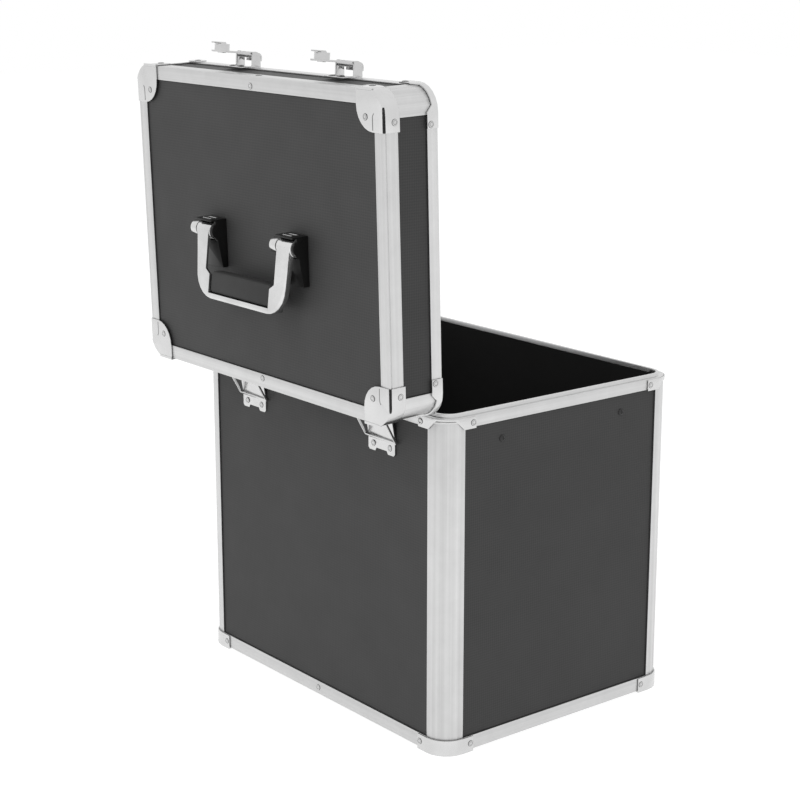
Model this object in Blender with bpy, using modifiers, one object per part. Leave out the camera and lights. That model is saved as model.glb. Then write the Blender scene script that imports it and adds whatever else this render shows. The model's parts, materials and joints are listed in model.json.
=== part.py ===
"""Lockable file box: an aluminium framed case with a hinged lid, two key latches and a folding handle.

The box stands on its four bottom corners, +Z up, with its front (the latch side) towards -Y.
Its lid stands open on the two stop hinges at the back, as far as they let it go.
All sizes are in metres.
"""
import math

import bmesh
import bpy
from mathutils import Matrix, Vector

# Overall sizes
CASE_WIDTH = 0.360
CASE_DEPTH = 0.268
BODY_HEIGHT = 0.299
LID_HEIGHT = 0.053
LID_SEAT = 0.0003
CORNER_RADIUS = 0.0205
OPEN_ANGLE = math.radians(91.6)

# Sheets and clearances
SKIN = 0.0012
PANEL = 0.004
LINING = 0.001
GAP = 0.0003
OVERRUN = 0.003

# Extrusions
POST_REACH = 0.0222
POST_SLOT = 0.0027
BASE_RAIL_HEIGHT = 0.0125
BASE_RAIL_FLANGE = 0.014
RIM_RAIL_HEIGHT = 0.0094
RIM_TOP = 0.0017
RIM_LEG = 0.014
LID_RAIL_HEIGHT = 0.0103
LID_RAIL_TOP = 0.002
FACE_RAIL_WIDTH = 0.0121
FACE_RAIL_SIDE = 0.0136
FACE_GROOVE_WIDTH = 0.0008
FACE_GROOVE_DEPTH = 0.0005
FACE_GROOVE_DROP = 0.0012
RAIL_RIVET_SHARE = 0.68
TONGUE_HEIGHT = 0.0027
TONGUE_THICKNESS = 0.0026
TONGUE_PLAY = 0.0006
ARC_STEPS = 6

# Pressed corners and rivets
CORNER_REACH = 0.033
CAP_PETAL_RADIUS = 0.0205
CAP_SIDE_EXTRA = 0.0009
CAP_SLIT_START = 0.013
CAP_SLIT_WIDTH = 0.0007
WING_INNER = 0.0205
WING_EXTRA = 0.0009
BODY_BAND = 0.0022
LID_BAND = 0.0058
RIVET_RADIUS = 0.0026
RIVET_TOP_RADIUS = 0.0018
RIVET_HEIGHT = 0.0008
RIVET_SIDES = 10
RIVET_FROM_END = 0.0032
CAP_SIDE_RIVET = 0.025
CAP_RIVET_SHARE = 0.56

# Hanging file rails, one inside each side wall
FILE_RAIL_INSET = 0.015
FILE_RAIL_LENGTH = 0.236
FILE_RAIL_HEIGHT = 0.020
FILE_RAIL_THICKNESS = 0.0015
FILE_RAIL_LIP = 0.003
FILE_SCREW_SPACING = 0.140
FILE_SCREW_DROP = 0.025
FILE_SCREW_RADIUS = 0.002
FILE_SCREW_HEAD_RADIUS = 0.0028
FILE_SCREW_HEAD_HEIGHT = 0.0012
FILE_SPACER_RADIUS = 0.0045
SCREW_TAPER_SHARE = 0.8
LINING_DROP = 0.001

# Stop hinges
HINGE_FROM_SIDE = 0.084
HINGE_AXIS_OUT = 0.0034
HINGE_AXIS_UP = 0.001
HINGE_WIDTH = 0.0365
HINGE_FOOT_TOP = 0.031
HINGE_FOOT_HEIGHT = 0.0135
HINGE_NOTCH_WIDTH = 0.014
HINGE_NOTCH_DEPTH = 0.0028
HINGE_LOBE_CORNER = 0.0018
HINGE_RIVET_SPACING = 0.0228
HINGE_RIVET_DROP = 0.0062
LID_LEAF_START = 0.0145
PIN_RADIUS = 0.0014
PIN_PLAY = 0.0003
KNUCKLE_RADIUS = 0.0026
KNUCKLE_WIDTH = 0.0140
KNUCKLE_RELIEF = 0.0036
STAY_WIDTH = 0.0014
STAY_DEPTH = 0.002
STAY_OFFSET = 0.0018
STAY_SLOPE = 0.55
STAY_LEAN_SHARE = math.tan(OPEN_ANGLE - math.pi / 2)
STAY_CLEARANCE = 0.0004

# Latches
LATCH_FROM_SIDE = 0.107
LATCH_PIVOT_UP = 0.006
LATCH_PIVOT_OUT = 0.011
LATCH_BASE_WIDTH = 0.026
LATCH_BASE_START = 0.0005
LATCH_BASE_END = 0.0205
LATCH_BASE_PLATE_START = 0.0135
LATCH_SHEET = 0.0015
LATCH_EAR_NOSE = 0.0028
LATCH_EAR_END = 0.0035
LEVER_WIDTH = 0.022
LEVER_LENGTH = 0.0345
LEVER_TAB_WIDTH = 0.013
LEVER_TAB_LENGTH = 0.005
LEVER_SHEET = 0.0014
LEVER_OFFSET = 0.00125
LEVER_NOSE_REACH = 0.0088
LEVER_NOSE_DROP = 0.0052
LEVER_NOSE_RADIUS = 0.0042
LEVER_TILT = math.radians(7)
LOCK_REACH = 0.026
LOCK_RADIUS = 0.0065
LOCK_HEIGHT = 0.0057
BARREL_RADIUS = 0.0036
BARREL_FACE = 0.0006
BARREL_SLOT_WIDTH = 0.001
BARREL_SLOT_LENGTH = 0.0046
BARREL_SLOT_DEPTH = 0.0015
LEVER_SHOULDER_SHARE = 0.33
CAM_REACH = 0.0098
CAM_WIDTH = 0.0044
CAM_THICKNESS = 0.0012
CATCH_WIDTH = 0.028
CATCH_HEIGHT = 0.019
CATCH_WALL = 0.0112
CATCH_LIP = 0.0076
CATCH_LIP_UP = 0.0055
CATCH_LIP_LENGTH = 0.011

# Handle
HANDLE_SPREAD = 0.0604
HANDLE_AXIS_SHIFT = 0.0016
HANDLE_AXIS_OUT = 0.0075
HANDLE_TILT = math.radians(8)
HANDLE_PIN_RADIUS = 0.002
HANDLE_PIN_HEAD_RADIUS = 0.0065
HANDLE_PIN_HEAD_LENGTH = 0.0085
MOUNT_WIDTH = 0.0255
MOUNT_CHEEK = 0.0022
MOUNT_BORE_CAP = 0.001
MOUNT_NOSE_RADIUS = 0.0064
MOUNT_FOOT_END = 0.0326
MOUNT_FOOT_THICK = 0.0093
MOUNT_FOOT_THIN = 0.0053
MOUNT_ROOF_THICKNESS = 0.0014
MOUNT_ROOF_REACH = 0.0155
MOUNT_CHEEK_HEIGHT = 0.0112
BOW_PLAY = 0.0012
BOW_HEAD_RADIUS = 0.0075
BOW_FACE = 0.0077
BOW_SHEET = 0.002
BOW_RIM_DEPTH = 0.006
BOW_ARM_WIDTH = 0.0175
BOW_TAPER = 0.003
BOW_DROP = 0.0584
BOW_CORNER_RADIUS = 0.024
BOW_BAR_HEIGHT = 0.0052
BOW_CHEEK_SLOPE = 0.004
TRAY_HALF_LENGTH = 0.0472
TRAY_WALL = 0.0018
TRAY_HEIGHT = 0.0164
TRAY_DEPTH = 0.0146
TRAY_BAR_THICKNESS = 0.0036
GRIP_HEIGHT = 0.0192
GRIP_DEPTH = 0.0146
GRIP_RECESS = 0.001
GRIP_ROUNDING = 0.003
GRIP_ROUNDING_STEPS = 2

# Worked out from the sizes above
PANEL_INSET = SKIN + GAP
LEG_INSET = PANEL_INSET + PANEL + GAP
WALL_INNER = LEG_INSET + SKIN
LINING_INSET = WALL_INNER + GAP
BASE_BOTTOM = SKIN + GAP
PROUD = SKIN + GAP
BASE_RAIL_TOP = BASE_BOTTOM + BASE_RAIL_HEIGHT
FLOOR_BOTTOM = BASE_BOTTOM + SKIN + GAP
FLOOR_TOP = FLOOR_BOTTOM + PANEL
POST_SLOT_END = POST_REACH - POST_SLOT
AXIS_Y = CASE_DEPTH / 2 + HINGE_AXIS_OUT
AXIS_Z = BODY_HEIGHT + HINGE_AXIS_UP
HINGE_OFFSET = CASE_WIDTH / 2 - HINGE_FROM_SIDE
LATCH_OFFSET = CASE_WIDTH / 2 - LATCH_FROM_SIDE

CORNERS = (("front_left", -1, -1), ("front_right", 1, -1), ("back_right", 1, 1), ("back_left", -1, 1))
PLANES = {"X": Matrix(((0, 0, 1), (1, 0, 0), (0, 1, 0))),
          "Y": Matrix(((1, 0, 0), (0, 0, 1), (0, 1, 0))),
          "Z": Matrix.Identity(3)}


def clear_scene():
    for old in list(bpy.data.objects):
        bpy.data.objects.remove(old)
    for name in ("file_box", "file_box_cutters"):
        if name in bpy.data.collections:
            bpy.data.collections.remove(bpy.data.collections[name])


def new_collection(name):
    collection = bpy.data.collections.new(name)
    bpy.context.scene.collection.children.link(collection)
    return collection


def new_material(name, colour, roughness, metallic):
    material = bpy.data.materials.new(name)
    material.use_nodes = True
    shader = material.node_tree.nodes["Principled BSDF"]
    shader.inputs["Base Color"].default_value = (*colour, 1)
    shader.inputs["Roughness"].default_value = roughness
    shader.inputs["Metallic"].default_value = metallic
    return material


clear_scene()
PARTS = new_collection("file_box")
WORK = new_collection("file_box_cutters")
ALUMINIUM = new_material("brushed_aluminium", (0.66, 0.66, 0.67), 0.32, 1)
CHROME = new_material("pressed_chrome", (0.78, 0.78, 0.79), 0.16, 1)
BLACK_PANEL = new_material("black_textured_panel", (0.035, 0.035, 0.036), 0.6, 0)
BLACK_LINING = new_material("black_lining", (0.012, 0.012, 0.012), 0.9, 0)
BLACK_PLASTIC = new_material("black_plastic", (0.018, 0.018, 0.019), 0.4, 0)
GREY_GRIP = new_material("dark_grey_grip", (0.05, 0.05, 0.052), 0.55, 0)


def mesh_object(name, mesh):
    piece = bpy.data.objects.new(name, mesh)
    WORK.objects.link(piece)
    return piece


def outward(mesh):
    """Point every face of a closed mesh outwards."""
    shape = bmesh.new()
    shape.from_mesh(mesh)
    bmesh.ops.recalc_face_normals(shape, faces=shape.faces)
    shape.to_mesh(mesh)
    shape.free()


def settle(piece):
    """Swap an object for the plain mesh that its curve or modifiers give."""
    bpy.context.view_layer.update()
    graph = bpy.context.evaluated_depsgraph_get()
    mesh = bpy.data.meshes.new_from_object(piece.evaluated_get(graph))
    mesh.transform(piece.matrix_world)
    name = piece.name
    bpy.data.objects.remove(piece)
    return mesh_object(name, mesh)


def arc(centre, radius, start, end, steps=ARC_STEPS):
    """Points on a round stretch, from one angle to another in degrees."""
    points = []
    for step in range(steps + 1):
        angle = math.radians(start + (end - start) * step / steps)
        points.append((centre[0] + radius * math.cos(angle), centre[1] + radius * math.sin(angle)))
    return points


def rounded_rectangle(half_x, half_y, radius):
    outline = []
    for turn, (_, side_x, side_y) in enumerate(CORNERS):
        centre = (side_x * (half_x - radius), side_y * (half_y - radius))
        outline += arc(centre, radius, 180 + 90 * turn, 270 + 90 * turn)
    return outline


def add_outline(curve, outline):
    """Add a closed outline of straight runs to a flat curve."""
    spline = curve.splines.new("POLY")
    spline.points.add(len(outline) - 1)
    for point, (a, b) in zip(spline.points, outline):
        point.co = (a, b, 0, 1)
    spline.use_cyclic_u = True


def prism(name, outline, low, high, axis="Z"):
    """Extrude a flat outline from low to high along an axis."""
    curve = bpy.data.curves.new(name, "CURVE")
    curve.dimensions = "2D"
    curve.fill_mode = "BOTH"
    curve.extrude = (high - low) / 2
    add_outline(curve, outline)
    piece = settle(mesh_object(name, curve))
    shape = bmesh.new()
    shape.from_mesh(piece.data)
    bmesh.ops.remove_doubles(shape, verts=shape.verts, dist=GAP / 30)
    bmesh.ops.translate(shape, verts=shape.verts, vec=(0, 0, (high + low) / 2))
    shape.to_mesh(piece.data)
    shape.free()
    piece.data.transform(PLANES[axis].to_4x4())
    outward(piece.data)
    return piece


def box(name, low, high):
    """A block between two corners."""
    shape = bmesh.new()
    bmesh.ops.create_cube(shape, size=1)
    size = [end - start for start, end in zip(low, high)]
    middle = [(start + end) / 2 for start, end in zip(low, high)]
    bmesh.ops.scale(shape, verts=shape.verts, vec=size)
    bmesh.ops.translate(shape, verts=shape.verts, vec=middle)
    mesh = bpy.data.meshes.new(name)
    shape.to_mesh(mesh)
    shape.free()
    return mesh_object(name, mesh)


def rod(name, start, end, radius, end_radius=None, sides=16):
    """A round bar or a cone from one point to another."""
    start, end = Vector(start), Vector(end)
    shape = bmesh.new()
    bmesh.ops.create_cone(shape, cap_ends=True, segments=sides, radius1=radius,
                          radius2=radius if end_radius is None else end_radius, depth=(end - start).length)
    turn = Vector((0, 0, 1)).rotation_difference(end - start).to_matrix().to_4x4()
    bmesh.ops.transform(shape, matrix=Matrix.Translation((start + end) / 2) @ turn, verts=shape.verts)
    mesh = bpy.data.meshes.new(name)
    shape.to_mesh(mesh)
    shape.free()
    return mesh_object(name, mesh)


def rivet(at, direction):
    """A low rivet head that grows from the sheet at a point on its surface."""
    at, direction = Vector(at), Vector(direction)
    return rod("rivet", at - direction * (SKIN / 2), at + direction * RIVET_HEIGHT,
               RIVET_RADIUS, RIVET_TOP_RADIUS, RIVET_SIDES)


def shift(piece, offset):
    piece.data.transform(Matrix.Translation(offset))
    return piece


def gather(pieces):
    """Put several loose solids in one object, to be used as one tool."""
    shape = bmesh.new()
    for piece in pieces:
        shape.from_mesh(piece.data)
        bpy.data.objects.remove(piece)
    mesh = bpy.data.meshes.new("tools")
    shape.to_mesh(mesh)
    shape.free()
    return mesh_object("tools", mesh)


def combine(piece, tools, operation):
    """Join tools to a piece, or cut them out of it, one after another."""
    for tool in tools:
        boolean = piece.modifiers.new(operation.title(), "BOOLEAN")
        boolean.operation = operation
        boolean.solver = "EXACT"
        boolean.object = tool
        piece = settle(piece)
        bpy.data.objects.remove(tool)
    return piece


def join(piece, *tools):
    return combine(piece, tools, "UNION")


def cut(piece, *tools):
    return combine(piece, tools, "DIFFERENCE")


def common(piece, *tools):
    return combine(piece, tools, "INTERSECT")


def ring(name, profile, height):
    """Sweep a closed profile of (inset, rise) points round the case at a height."""
    section = bpy.data.curves.new(name + "_section", "CURVE")
    section.dimensions = "2D"
    add_outline(section, profile)
    section_object = mesh_object(name + "_section", section)
    path = bpy.data.curves.new(name, "CURVE")
    path.dimensions = "2D"
    path.fill_mode = "NONE"
    path.bevel_mode = "OBJECT"
    path.bevel_object = section_object
    add_outline(path, rounded_rectangle(CASE_WIDTH / 2, CASE_DEPTH / 2, CORNER_RADIUS))
    piece = settle(mesh_object(name, path))
    bpy.data.objects.remove(section_object)
    outward(piece.data)
    return shift(piece, (0, 0, height))


def finish(piece, name, material, at=(0, 0, 0), quarter_turns=0, carrier=None, smooth_over=40):
    """Give a finished piece its name, finish, place and carrier."""
    piece.name = name
    piece.data.name = name
    piece.data.materials.clear()
    piece.data.materials.append(material)
    piece.data.shade_smooth()
    piece.data.set_sharp_from_angle(angle=math.radians(smooth_over))
    piece.location = at
    piece.rotation_euler.z = math.radians(90 * quarter_turns)
    piece.parent = carrier
    WORK.objects.unlink(piece)
    PARTS.objects.link(piece)
    return piece


def copy_of(piece, name, at, quarter_turns=0):
    """Another of the same piece, in another place."""
    twin = bpy.data.objects.new(name, piece.data)
    twin.location = at
    twin.rotation_euler.z = math.radians(90 * quarter_turns)
    twin.parent = piece.parent
    PARTS.objects.link(twin)
    return twin


def four_corners(piece, name, material, rise, carrier=None):
    """Stand a corner piece, made at its own corner, at each corner of the body or of the lid."""
    for turn, (corner, side_x, side_y) in enumerate(CORNERS):
        x, y = side_x * CASE_WIDTH / 2, side_y * CASE_DEPTH / 2
        at = lid_place(x, y, rise) if carrier else (x, y, rise)
        if turn == 0:
            finish(piece, name + "_" + corner, material, at, 0, carrier)
        else:
            copy_of(piece, name + "_" + corner, at, turn)


def axis_empty(name, at, carrier=None, turn=(0, 0, 0)):
    """A joint's axis, which carries the pieces that move with it."""
    empty = bpy.data.objects.new(name, None)
    empty.location = at
    empty.rotation_euler = turn
    empty.parent = carrier
    PARTS.objects.link(empty)
    return empty


def lid_place(x=0, y=0, rise=0):
    """A place on the closed lid, from the axis that carries the lid."""
    return (x, y - AXIS_Y, BODY_HEIGHT + LID_SEAT + rise - AXIS_Z)


LID = axis_empty("lid_axis", (0, AXIS_Y, AXIS_Z), None, (-OPEN_ANGLE, 0, 0))


def corner_post(name, length):
    """An extruded corner: a rounded wall, two slots for the panels and an inner leg."""
    centre = (CORNER_RADIUS, CORNER_RADIUS)
    outer = [(POST_REACH, 0)] + arc(centre, CORNER_RADIUS, 270, 180) + [(0, POST_REACH)]
    slot_b = [(SKIN, POST_REACH), (SKIN, POST_SLOT_END), (LEG_INSET, POST_SLOT_END), (LEG_INSET, POST_REACH)]
    leg = arc(centre, CORNER_RADIUS - WALL_INNER, 180, 270)
    leg = [(WALL_INNER, POST_REACH)] + leg + [(POST_REACH, WALL_INNER)]
    slot_a = [(b, a) for a, b in reversed(slot_b)]
    post = prism(name, outer + slot_b + leg + slot_a, 0, length)
    web = CORNER_RADIUS - (POST_SLOT_END - SKIN)
    wide, narrow = CORNER_RADIUS - SKIN, CORNER_RADIUS - LEG_INSET
    wide_end, narrow_end = math.degrees(math.asin(web / wide)), math.degrees(math.asin(web / narrow))
    hollow = arc(centre, wide, 270 - wide_end, 180 + wide_end)
    hollow += arc(centre, narrow, 180 + narrow_end, 270 - narrow_end)
    return cut(post, prism("hollow", hollow, -OVERRUN, length + OVERRUN))


def corner_band(name, low, high, reach=CORNER_REACH):
    """The sheet that wraps a rounded corner outside the rails."""
    centre = (CORNER_RADIUS, CORNER_RADIUS)
    outer = [(reach, -PROUD)] + arc(centre, CORNER_RADIUS + PROUD, 270, 180) + [(-PROUD, reach)]
    inner = [(-GAP, reach)] + arc(centre, CORNER_RADIUS + GAP, 180, 270) + [(reach, -GAP)]
    return prism(name, outer + inner, low, high)


def corner_petal(name, low, high):
    """The rounded flange of a three-sided corner, seen flat."""
    centre = (CORNER_RADIUS, CORNER_RADIUS)
    outline = [(CORNER_REACH, -PROUD)] + arc(centre, CORNER_RADIUS + PROUD, 270, 180) + [(-PROUD, CORNER_REACH)]
    root = CORNER_REACH - CAP_PETAL_RADIUS
    outline += arc((root, root), CAP_PETAL_RADIUS, 90, 0)
    return prism(name, outline, low, high)


def side_rivets(distance, rise):
    """One rivet on each side of a corner, the same distance from the corner."""
    return [rivet((distance, -PROUD, rise), (0, -1, 0)), rivet((-PROUD, distance, rise), (-1, 0, 0))]


def wing_cutter(low, high, near_low):
    """The notch that leaves a rim corner only a narrow band where it passes the post."""
    depth = high - low
    wide, narrow = WING_INNER, WING_INNER - depth
    bottom, top = (wide, narrow) if near_low else (narrow, wide)
    shape = bmesh.new()
    bmesh.ops.create_cube(shape, size=1)
    for corner in shape.verts:
        reach = top if corner.co.z > 0 else bottom
        corner.co.x = reach if corner.co.x > 0 else -PROUD - OVERRUN
        corner.co.y = reach if corner.co.y > 0 else -PROUD - OVERRUN
        corner.co.z = high if corner.co.z > 0 else low
    mesh = bpy.data.meshes.new("wing_cutter")
    shape.to_mesh(mesh)
    shape.free()
    return mesh_object("wing_cutter", mesh)


def corner_blocks(reach, low, high):
    """Four blocks that clear the corners of a swept rail."""
    blocks = []
    for _, side_x, side_y in CORNERS:
        x_ends = sorted((side_x * (CASE_WIDTH / 2 + OVERRUN), side_x * (CASE_WIDTH / 2 - reach)))
        y_ends = sorted((side_y * (CASE_DEPTH / 2 + OVERRUN), side_y * (CASE_DEPTH / 2 - reach)))
        blocks.append(box("corner_block", (x_ends[0], y_ends[0], low), (x_ends[1], y_ends[1], high)))
    return gather(blocks)


def middle_rivets(rise):
    """One rivet in the middle of each long rail."""
    return gather([rivet((0, side * CASE_DEPTH / 2, rise), (0, side, 0)) for side in (-1, 1)])


def file_screw_places():
    """Heights and depths of the four screws that hold the file rails."""
    rise = BODY_HEIGHT - FILE_SCREW_DROP
    return [(side, rise) for side in (-FILE_SCREW_SPACING / 2, FILE_SCREW_SPACING / 2)]


def make_body_panels():
    """Five plastic faced boards: four walls in the posts' slots, and the floor."""
    clear = POST_SLOT_END + GAP
    low, high = FLOOR_TOP + GAP, BODY_HEIGHT - RIM_TOP - GAP
    for name, side in (("front_panel", -1), ("back_panel", 1)):
        faces = sorted((side * (CASE_DEPTH / 2 - PANEL_INSET), side * (CASE_DEPTH / 2 - PANEL_INSET - PANEL)))
        half = CASE_WIDTH / 2 - clear
        finish(box(name, (-half, faces[0], low), (half, faces[1], high)), name, BLACK_PANEL)
    for name, side in (("left_panel", -1), ("right_panel", 1)):
        faces = sorted((side * (CASE_WIDTH / 2 - PANEL_INSET), side * (CASE_WIDTH / 2 - PANEL_INSET - PANEL)))
        half = CASE_DEPTH / 2 - clear
        wall = box(name, (faces[0], -half, low), (faces[1], half, high))
        holes = [rod("screw_hole", (faces[0] - OVERRUN, y, z), (faces[1] + OVERRUN, y, z),
                     FILE_SCREW_RADIUS + GAP) for y, z in file_screw_places()]
        finish(cut(wall, gather(holes)), name, BLACK_PANEL)
    outline = rounded_rectangle(CASE_WIDTH / 2 - PANEL_INSET, CASE_DEPTH / 2 - PANEL_INSET,
                                CORNER_RADIUS - PANEL_INSET)
    finish(prism("floor_panel", outline, FLOOR_BOTTOM, FLOOR_TOP), "floor_panel", BLACK_PANEL)


def make_body_frame():
    """Four corner posts between the bottom rail and the rim rail."""
    low, high = BASE_RAIL_TOP + GAP, BODY_HEIGHT - RIM_TOP - GAP
    four_corners(corner_post("post", high - low), "body_post", ALUMINIUM, low)
    profile = [(0, 0), (0, BASE_RAIL_HEIGHT), (SKIN, BASE_RAIL_HEIGHT), (SKIN, SKIN),
               (BASE_RAIL_FLANGE, SKIN), (BASE_RAIL_FLANGE, 0)]
    base = ring("base_rail", profile, BASE_BOTTOM)
    base = join(base, middle_rivets(BASE_BOTTOM + BASE_RAIL_HEIGHT / 2))
    finish(base, "base_rail", ALUMINIUM)
    tongue = WALL_INNER - TONGUE_THICKNESS
    profile = [(0, -RIM_RAIL_HEIGHT), (0, 0), (tongue, 0), (tongue, TONGUE_HEIGHT), (WALL_INNER, TONGUE_HEIGHT),
               (WALL_INNER, -RIM_LEG), (LEG_INSET, -RIM_LEG), (LEG_INSET, -RIM_TOP), (SKIN, -RIM_TOP),
               (SKIN, -RIM_RAIL_HEIGHT)]
    rim = ring("body_rim_rail", profile, BODY_HEIGHT)
    rim = cut(rim, corner_blocks(POST_REACH + GAP, BODY_HEIGHT - RIM_LEG - OVERRUN, BODY_HEIGHT - RIM_TOP))
    finish(rim, "body_rim_rail", ALUMINIUM)


def make_body_corners():
    """Pressed corners: three-sided at the bottom, wrapped bands at the rim."""
    foot = corner_band("foot", 0, BASE_RAIL_TOP)
    foot = join(foot, corner_petal("petal", 0, SKIN),
                gather(side_rivets(CORNER_REACH - RIVET_FROM_END, BASE_RAIL_TOP - BASE_RAIL_HEIGHT / 2)))
    four_corners(foot, "base_corner", CHROME, 0)
    low = -RIM_RAIL_HEIGHT - WING_EXTRA
    wing = corner_band("wing", low, -GAP)
    wing = cut(wing, wing_cutter(low - GAP, -BODY_BAND, True))
    wing = join(wing, gather(side_rivets(CORNER_REACH - RIVET_FROM_END, low / 2)))
    four_corners(wing, "body_rim_corner", CHROME, BODY_HEIGHT)


def make_lining(name, low, high, floor_low):
    """A thin lining with rounded corners, closed at one end."""
    outer, inner = [rounded_rectangle(CASE_WIDTH / 2 - inset, CASE_DEPTH / 2 - inset, CORNER_RADIUS - inset)
                    for inset in (LINING_INSET, LINING_INSET + LINING)]
    hollow_low = low + LINING if floor_low else low - OVERRUN
    hollow_high = high + OVERRUN if floor_low else high - LINING
    return cut(prism(name, outer, low, high), prism("hollow", inner, hollow_low, hollow_high))


def make_body_lining():
    lining = make_lining("body_lining", FLOOR_TOP + GAP, BODY_HEIGHT - LINING_DROP, True)
    reach = CASE_WIDTH / 2 + OVERRUN
    holes = [rod("screw_hole", (-reach, y, z), (reach, y, z), FILE_SCREW_RADIUS + GAP)
             for y, z in file_screw_places()]
    finish(cut(lining, gather(holes)), "body_lining", BLACK_LINING)


def make_file_rails():
    """The strips that hanging folders hook over, each with its two screws through the side wall."""
    head_start = CASE_WIDTH / 2 - PANEL_INSET + GAP
    head_end = head_start + FILE_SCREW_HEAD_HEIGHT
    spacer_end = CASE_WIDTH / 2 - LINING_INSET - LINING - GAP
    for name, side in (("file_rail_left", -1), ("file_rail_right", 1)):
        middle = CASE_WIDTH / 2 - FILE_RAIL_INSET
        near, far = middle - FILE_RAIL_THICKNESS / 2, middle + FILE_RAIL_THICKNESS / 2
        rise = BODY_HEIGHT - FILE_SCREW_DROP
        low, high = rise - FILE_RAIL_HEIGHT / 2, rise + FILE_RAIL_HEIGHT / 2
        lip = FILE_RAIL_LIP
        outline = [(near, low), (far, low), (far, high), (near - lip, high),
                   (near - lip, high - FILE_RAIL_THICKNESS), (near, high - FILE_RAIL_THICKNESS)]
        outline = [(side * a, b) for a, b in outline]
        rail = prism(name, outline, -FILE_RAIL_LENGTH / 2, FILE_RAIL_LENGTH / 2, "Y")
        spacers, shanks, heads = [], [], []
        for y, z in file_screw_places():
            spacers.append(rod("spacer", (side * middle, y, z), (side * spacer_end, y, z), FILE_SPACER_RADIUS))
            shank_end = head_start + FILE_SCREW_HEAD_HEIGHT / 2
            shanks.append(rod("shank", (side * middle, y, z), (side * shank_end, y, z), FILE_SCREW_RADIUS))
            heads.append(rod("head", (side * head_start, y, z), (side * head_end, y, z),
                             FILE_SCREW_HEAD_RADIUS, FILE_SCREW_HEAD_RADIUS * SCREW_TAPER_SHARE))
        rail = join(rail, gather(spacers), gather(shanks), gather(heads))
        finish(rail, name, ALUMINIUM)


def make_lid_panels():
    """The lid's top board and its four low walls."""
    clear = POST_SLOT_END + GAP
    top_high = LID_HEIGHT - SKIN - GAP
    top_low = top_high - PANEL
    outline = rounded_rectangle(CASE_WIDTH / 2 - PANEL_INSET, CASE_DEPTH / 2 - PANEL_INSET,
                                CORNER_RADIUS - PANEL_INSET)
    finish(prism("lid_top_panel", outline, top_low, top_high), "lid_top_panel", BLACK_PANEL,
           lid_place(), 0, LID)
    low, high = LID_RAIL_TOP + lid_rail_floor() + GAP, top_low - GAP
    for name, side in (("lid_front_panel", -1), ("lid_back_panel", 1)):
        faces = sorted((side * (CASE_DEPTH / 2 - PANEL_INSET), side * (CASE_DEPTH / 2 - PANEL_INSET - PANEL)))
        half = CASE_WIDTH / 2 - clear
        wall = box(name, (-half, faces[0], low), (half, faces[1], high))
        finish(wall, name, BLACK_PANEL, lid_place(), 0, LID)
    for name, side in (("lid_left_panel", -1), ("lid_right_panel", 1)):
        faces = sorted((side * (CASE_WIDTH / 2 - PANEL_INSET), side * (CASE_WIDTH / 2 - PANEL_INSET - PANEL)))
        half = CASE_DEPTH / 2 - clear
        wall = box(name, (faces[0], -half, low), (faces[1], half, high))
        finish(wall, name, BLACK_PANEL, lid_place(), 0, LID)


def lid_rail_floor():
    """How high the lid's rim rail is hollowed for the body's tongue."""
    return TONGUE_HEIGHT + TONGUE_PLAY


def make_lid_frame():
    """The lid's rim rail, which closes over the body's tongue, four short posts and the top rail."""
    floor = lid_rail_floor()
    lip = WALL_INNER - TONGUE_THICKNESS - TONGUE_PLAY
    shelf = floor + LID_RAIL_TOP
    profile = [(0, 0), (lip, 0), (lip, floor), (WALL_INNER, floor), (WALL_INNER, RIM_LEG), (LEG_INSET, RIM_LEG),
               (LEG_INSET, shelf), (SKIN, shelf), (SKIN, LID_RAIL_HEIGHT), (0, LID_RAIL_HEIGHT)]
    rim = ring("lid_rim_rail", profile, 0)
    rim = cut(rim, corner_blocks(POST_REACH + GAP, shelf, RIM_LEG + OVERRUN))
    finish(rim, "lid_rim_rail", ALUMINIUM, lid_place(), 0, LID)
    low, high = shelf + GAP, LID_HEIGHT - FACE_RAIL_SIDE - GAP
    four_corners(corner_post("lid_post", high - low), "lid_post", ALUMINIUM, low, LID)
    side, top = -FACE_RAIL_SIDE, -SKIN
    groove = -FACE_GROOVE_DROP
    profile = [(0, side), (0, groove - FACE_GROOVE_WIDTH), (FACE_GROOVE_DEPTH, groove - FACE_GROOVE_WIDTH),
               (FACE_GROOVE_DEPTH, groove), (0, groove), (0, 0), (FACE_RAIL_WIDTH, 0), (FACE_RAIL_WIDTH, top),
               (SKIN, top), (SKIN, side)]
    face = ring("lid_top_rail", profile, LID_HEIGHT)
    reach = CASE_DEPTH / 2 - FACE_RAIL_WIDTH * RAIL_RIVET_SHARE
    face_rivets = gather([rivet((0, side * reach, LID_HEIGHT), (0, 0, 1)) for side in (-1, 1)])
    face = join(face, middle_rivets(LID_HEIGHT - FACE_RAIL_SIDE * RAIL_RIVET_SHARE), face_rivets)
    finish(face, "lid_top_rail", ALUMINIUM, lid_place(), 0, LID)


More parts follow.
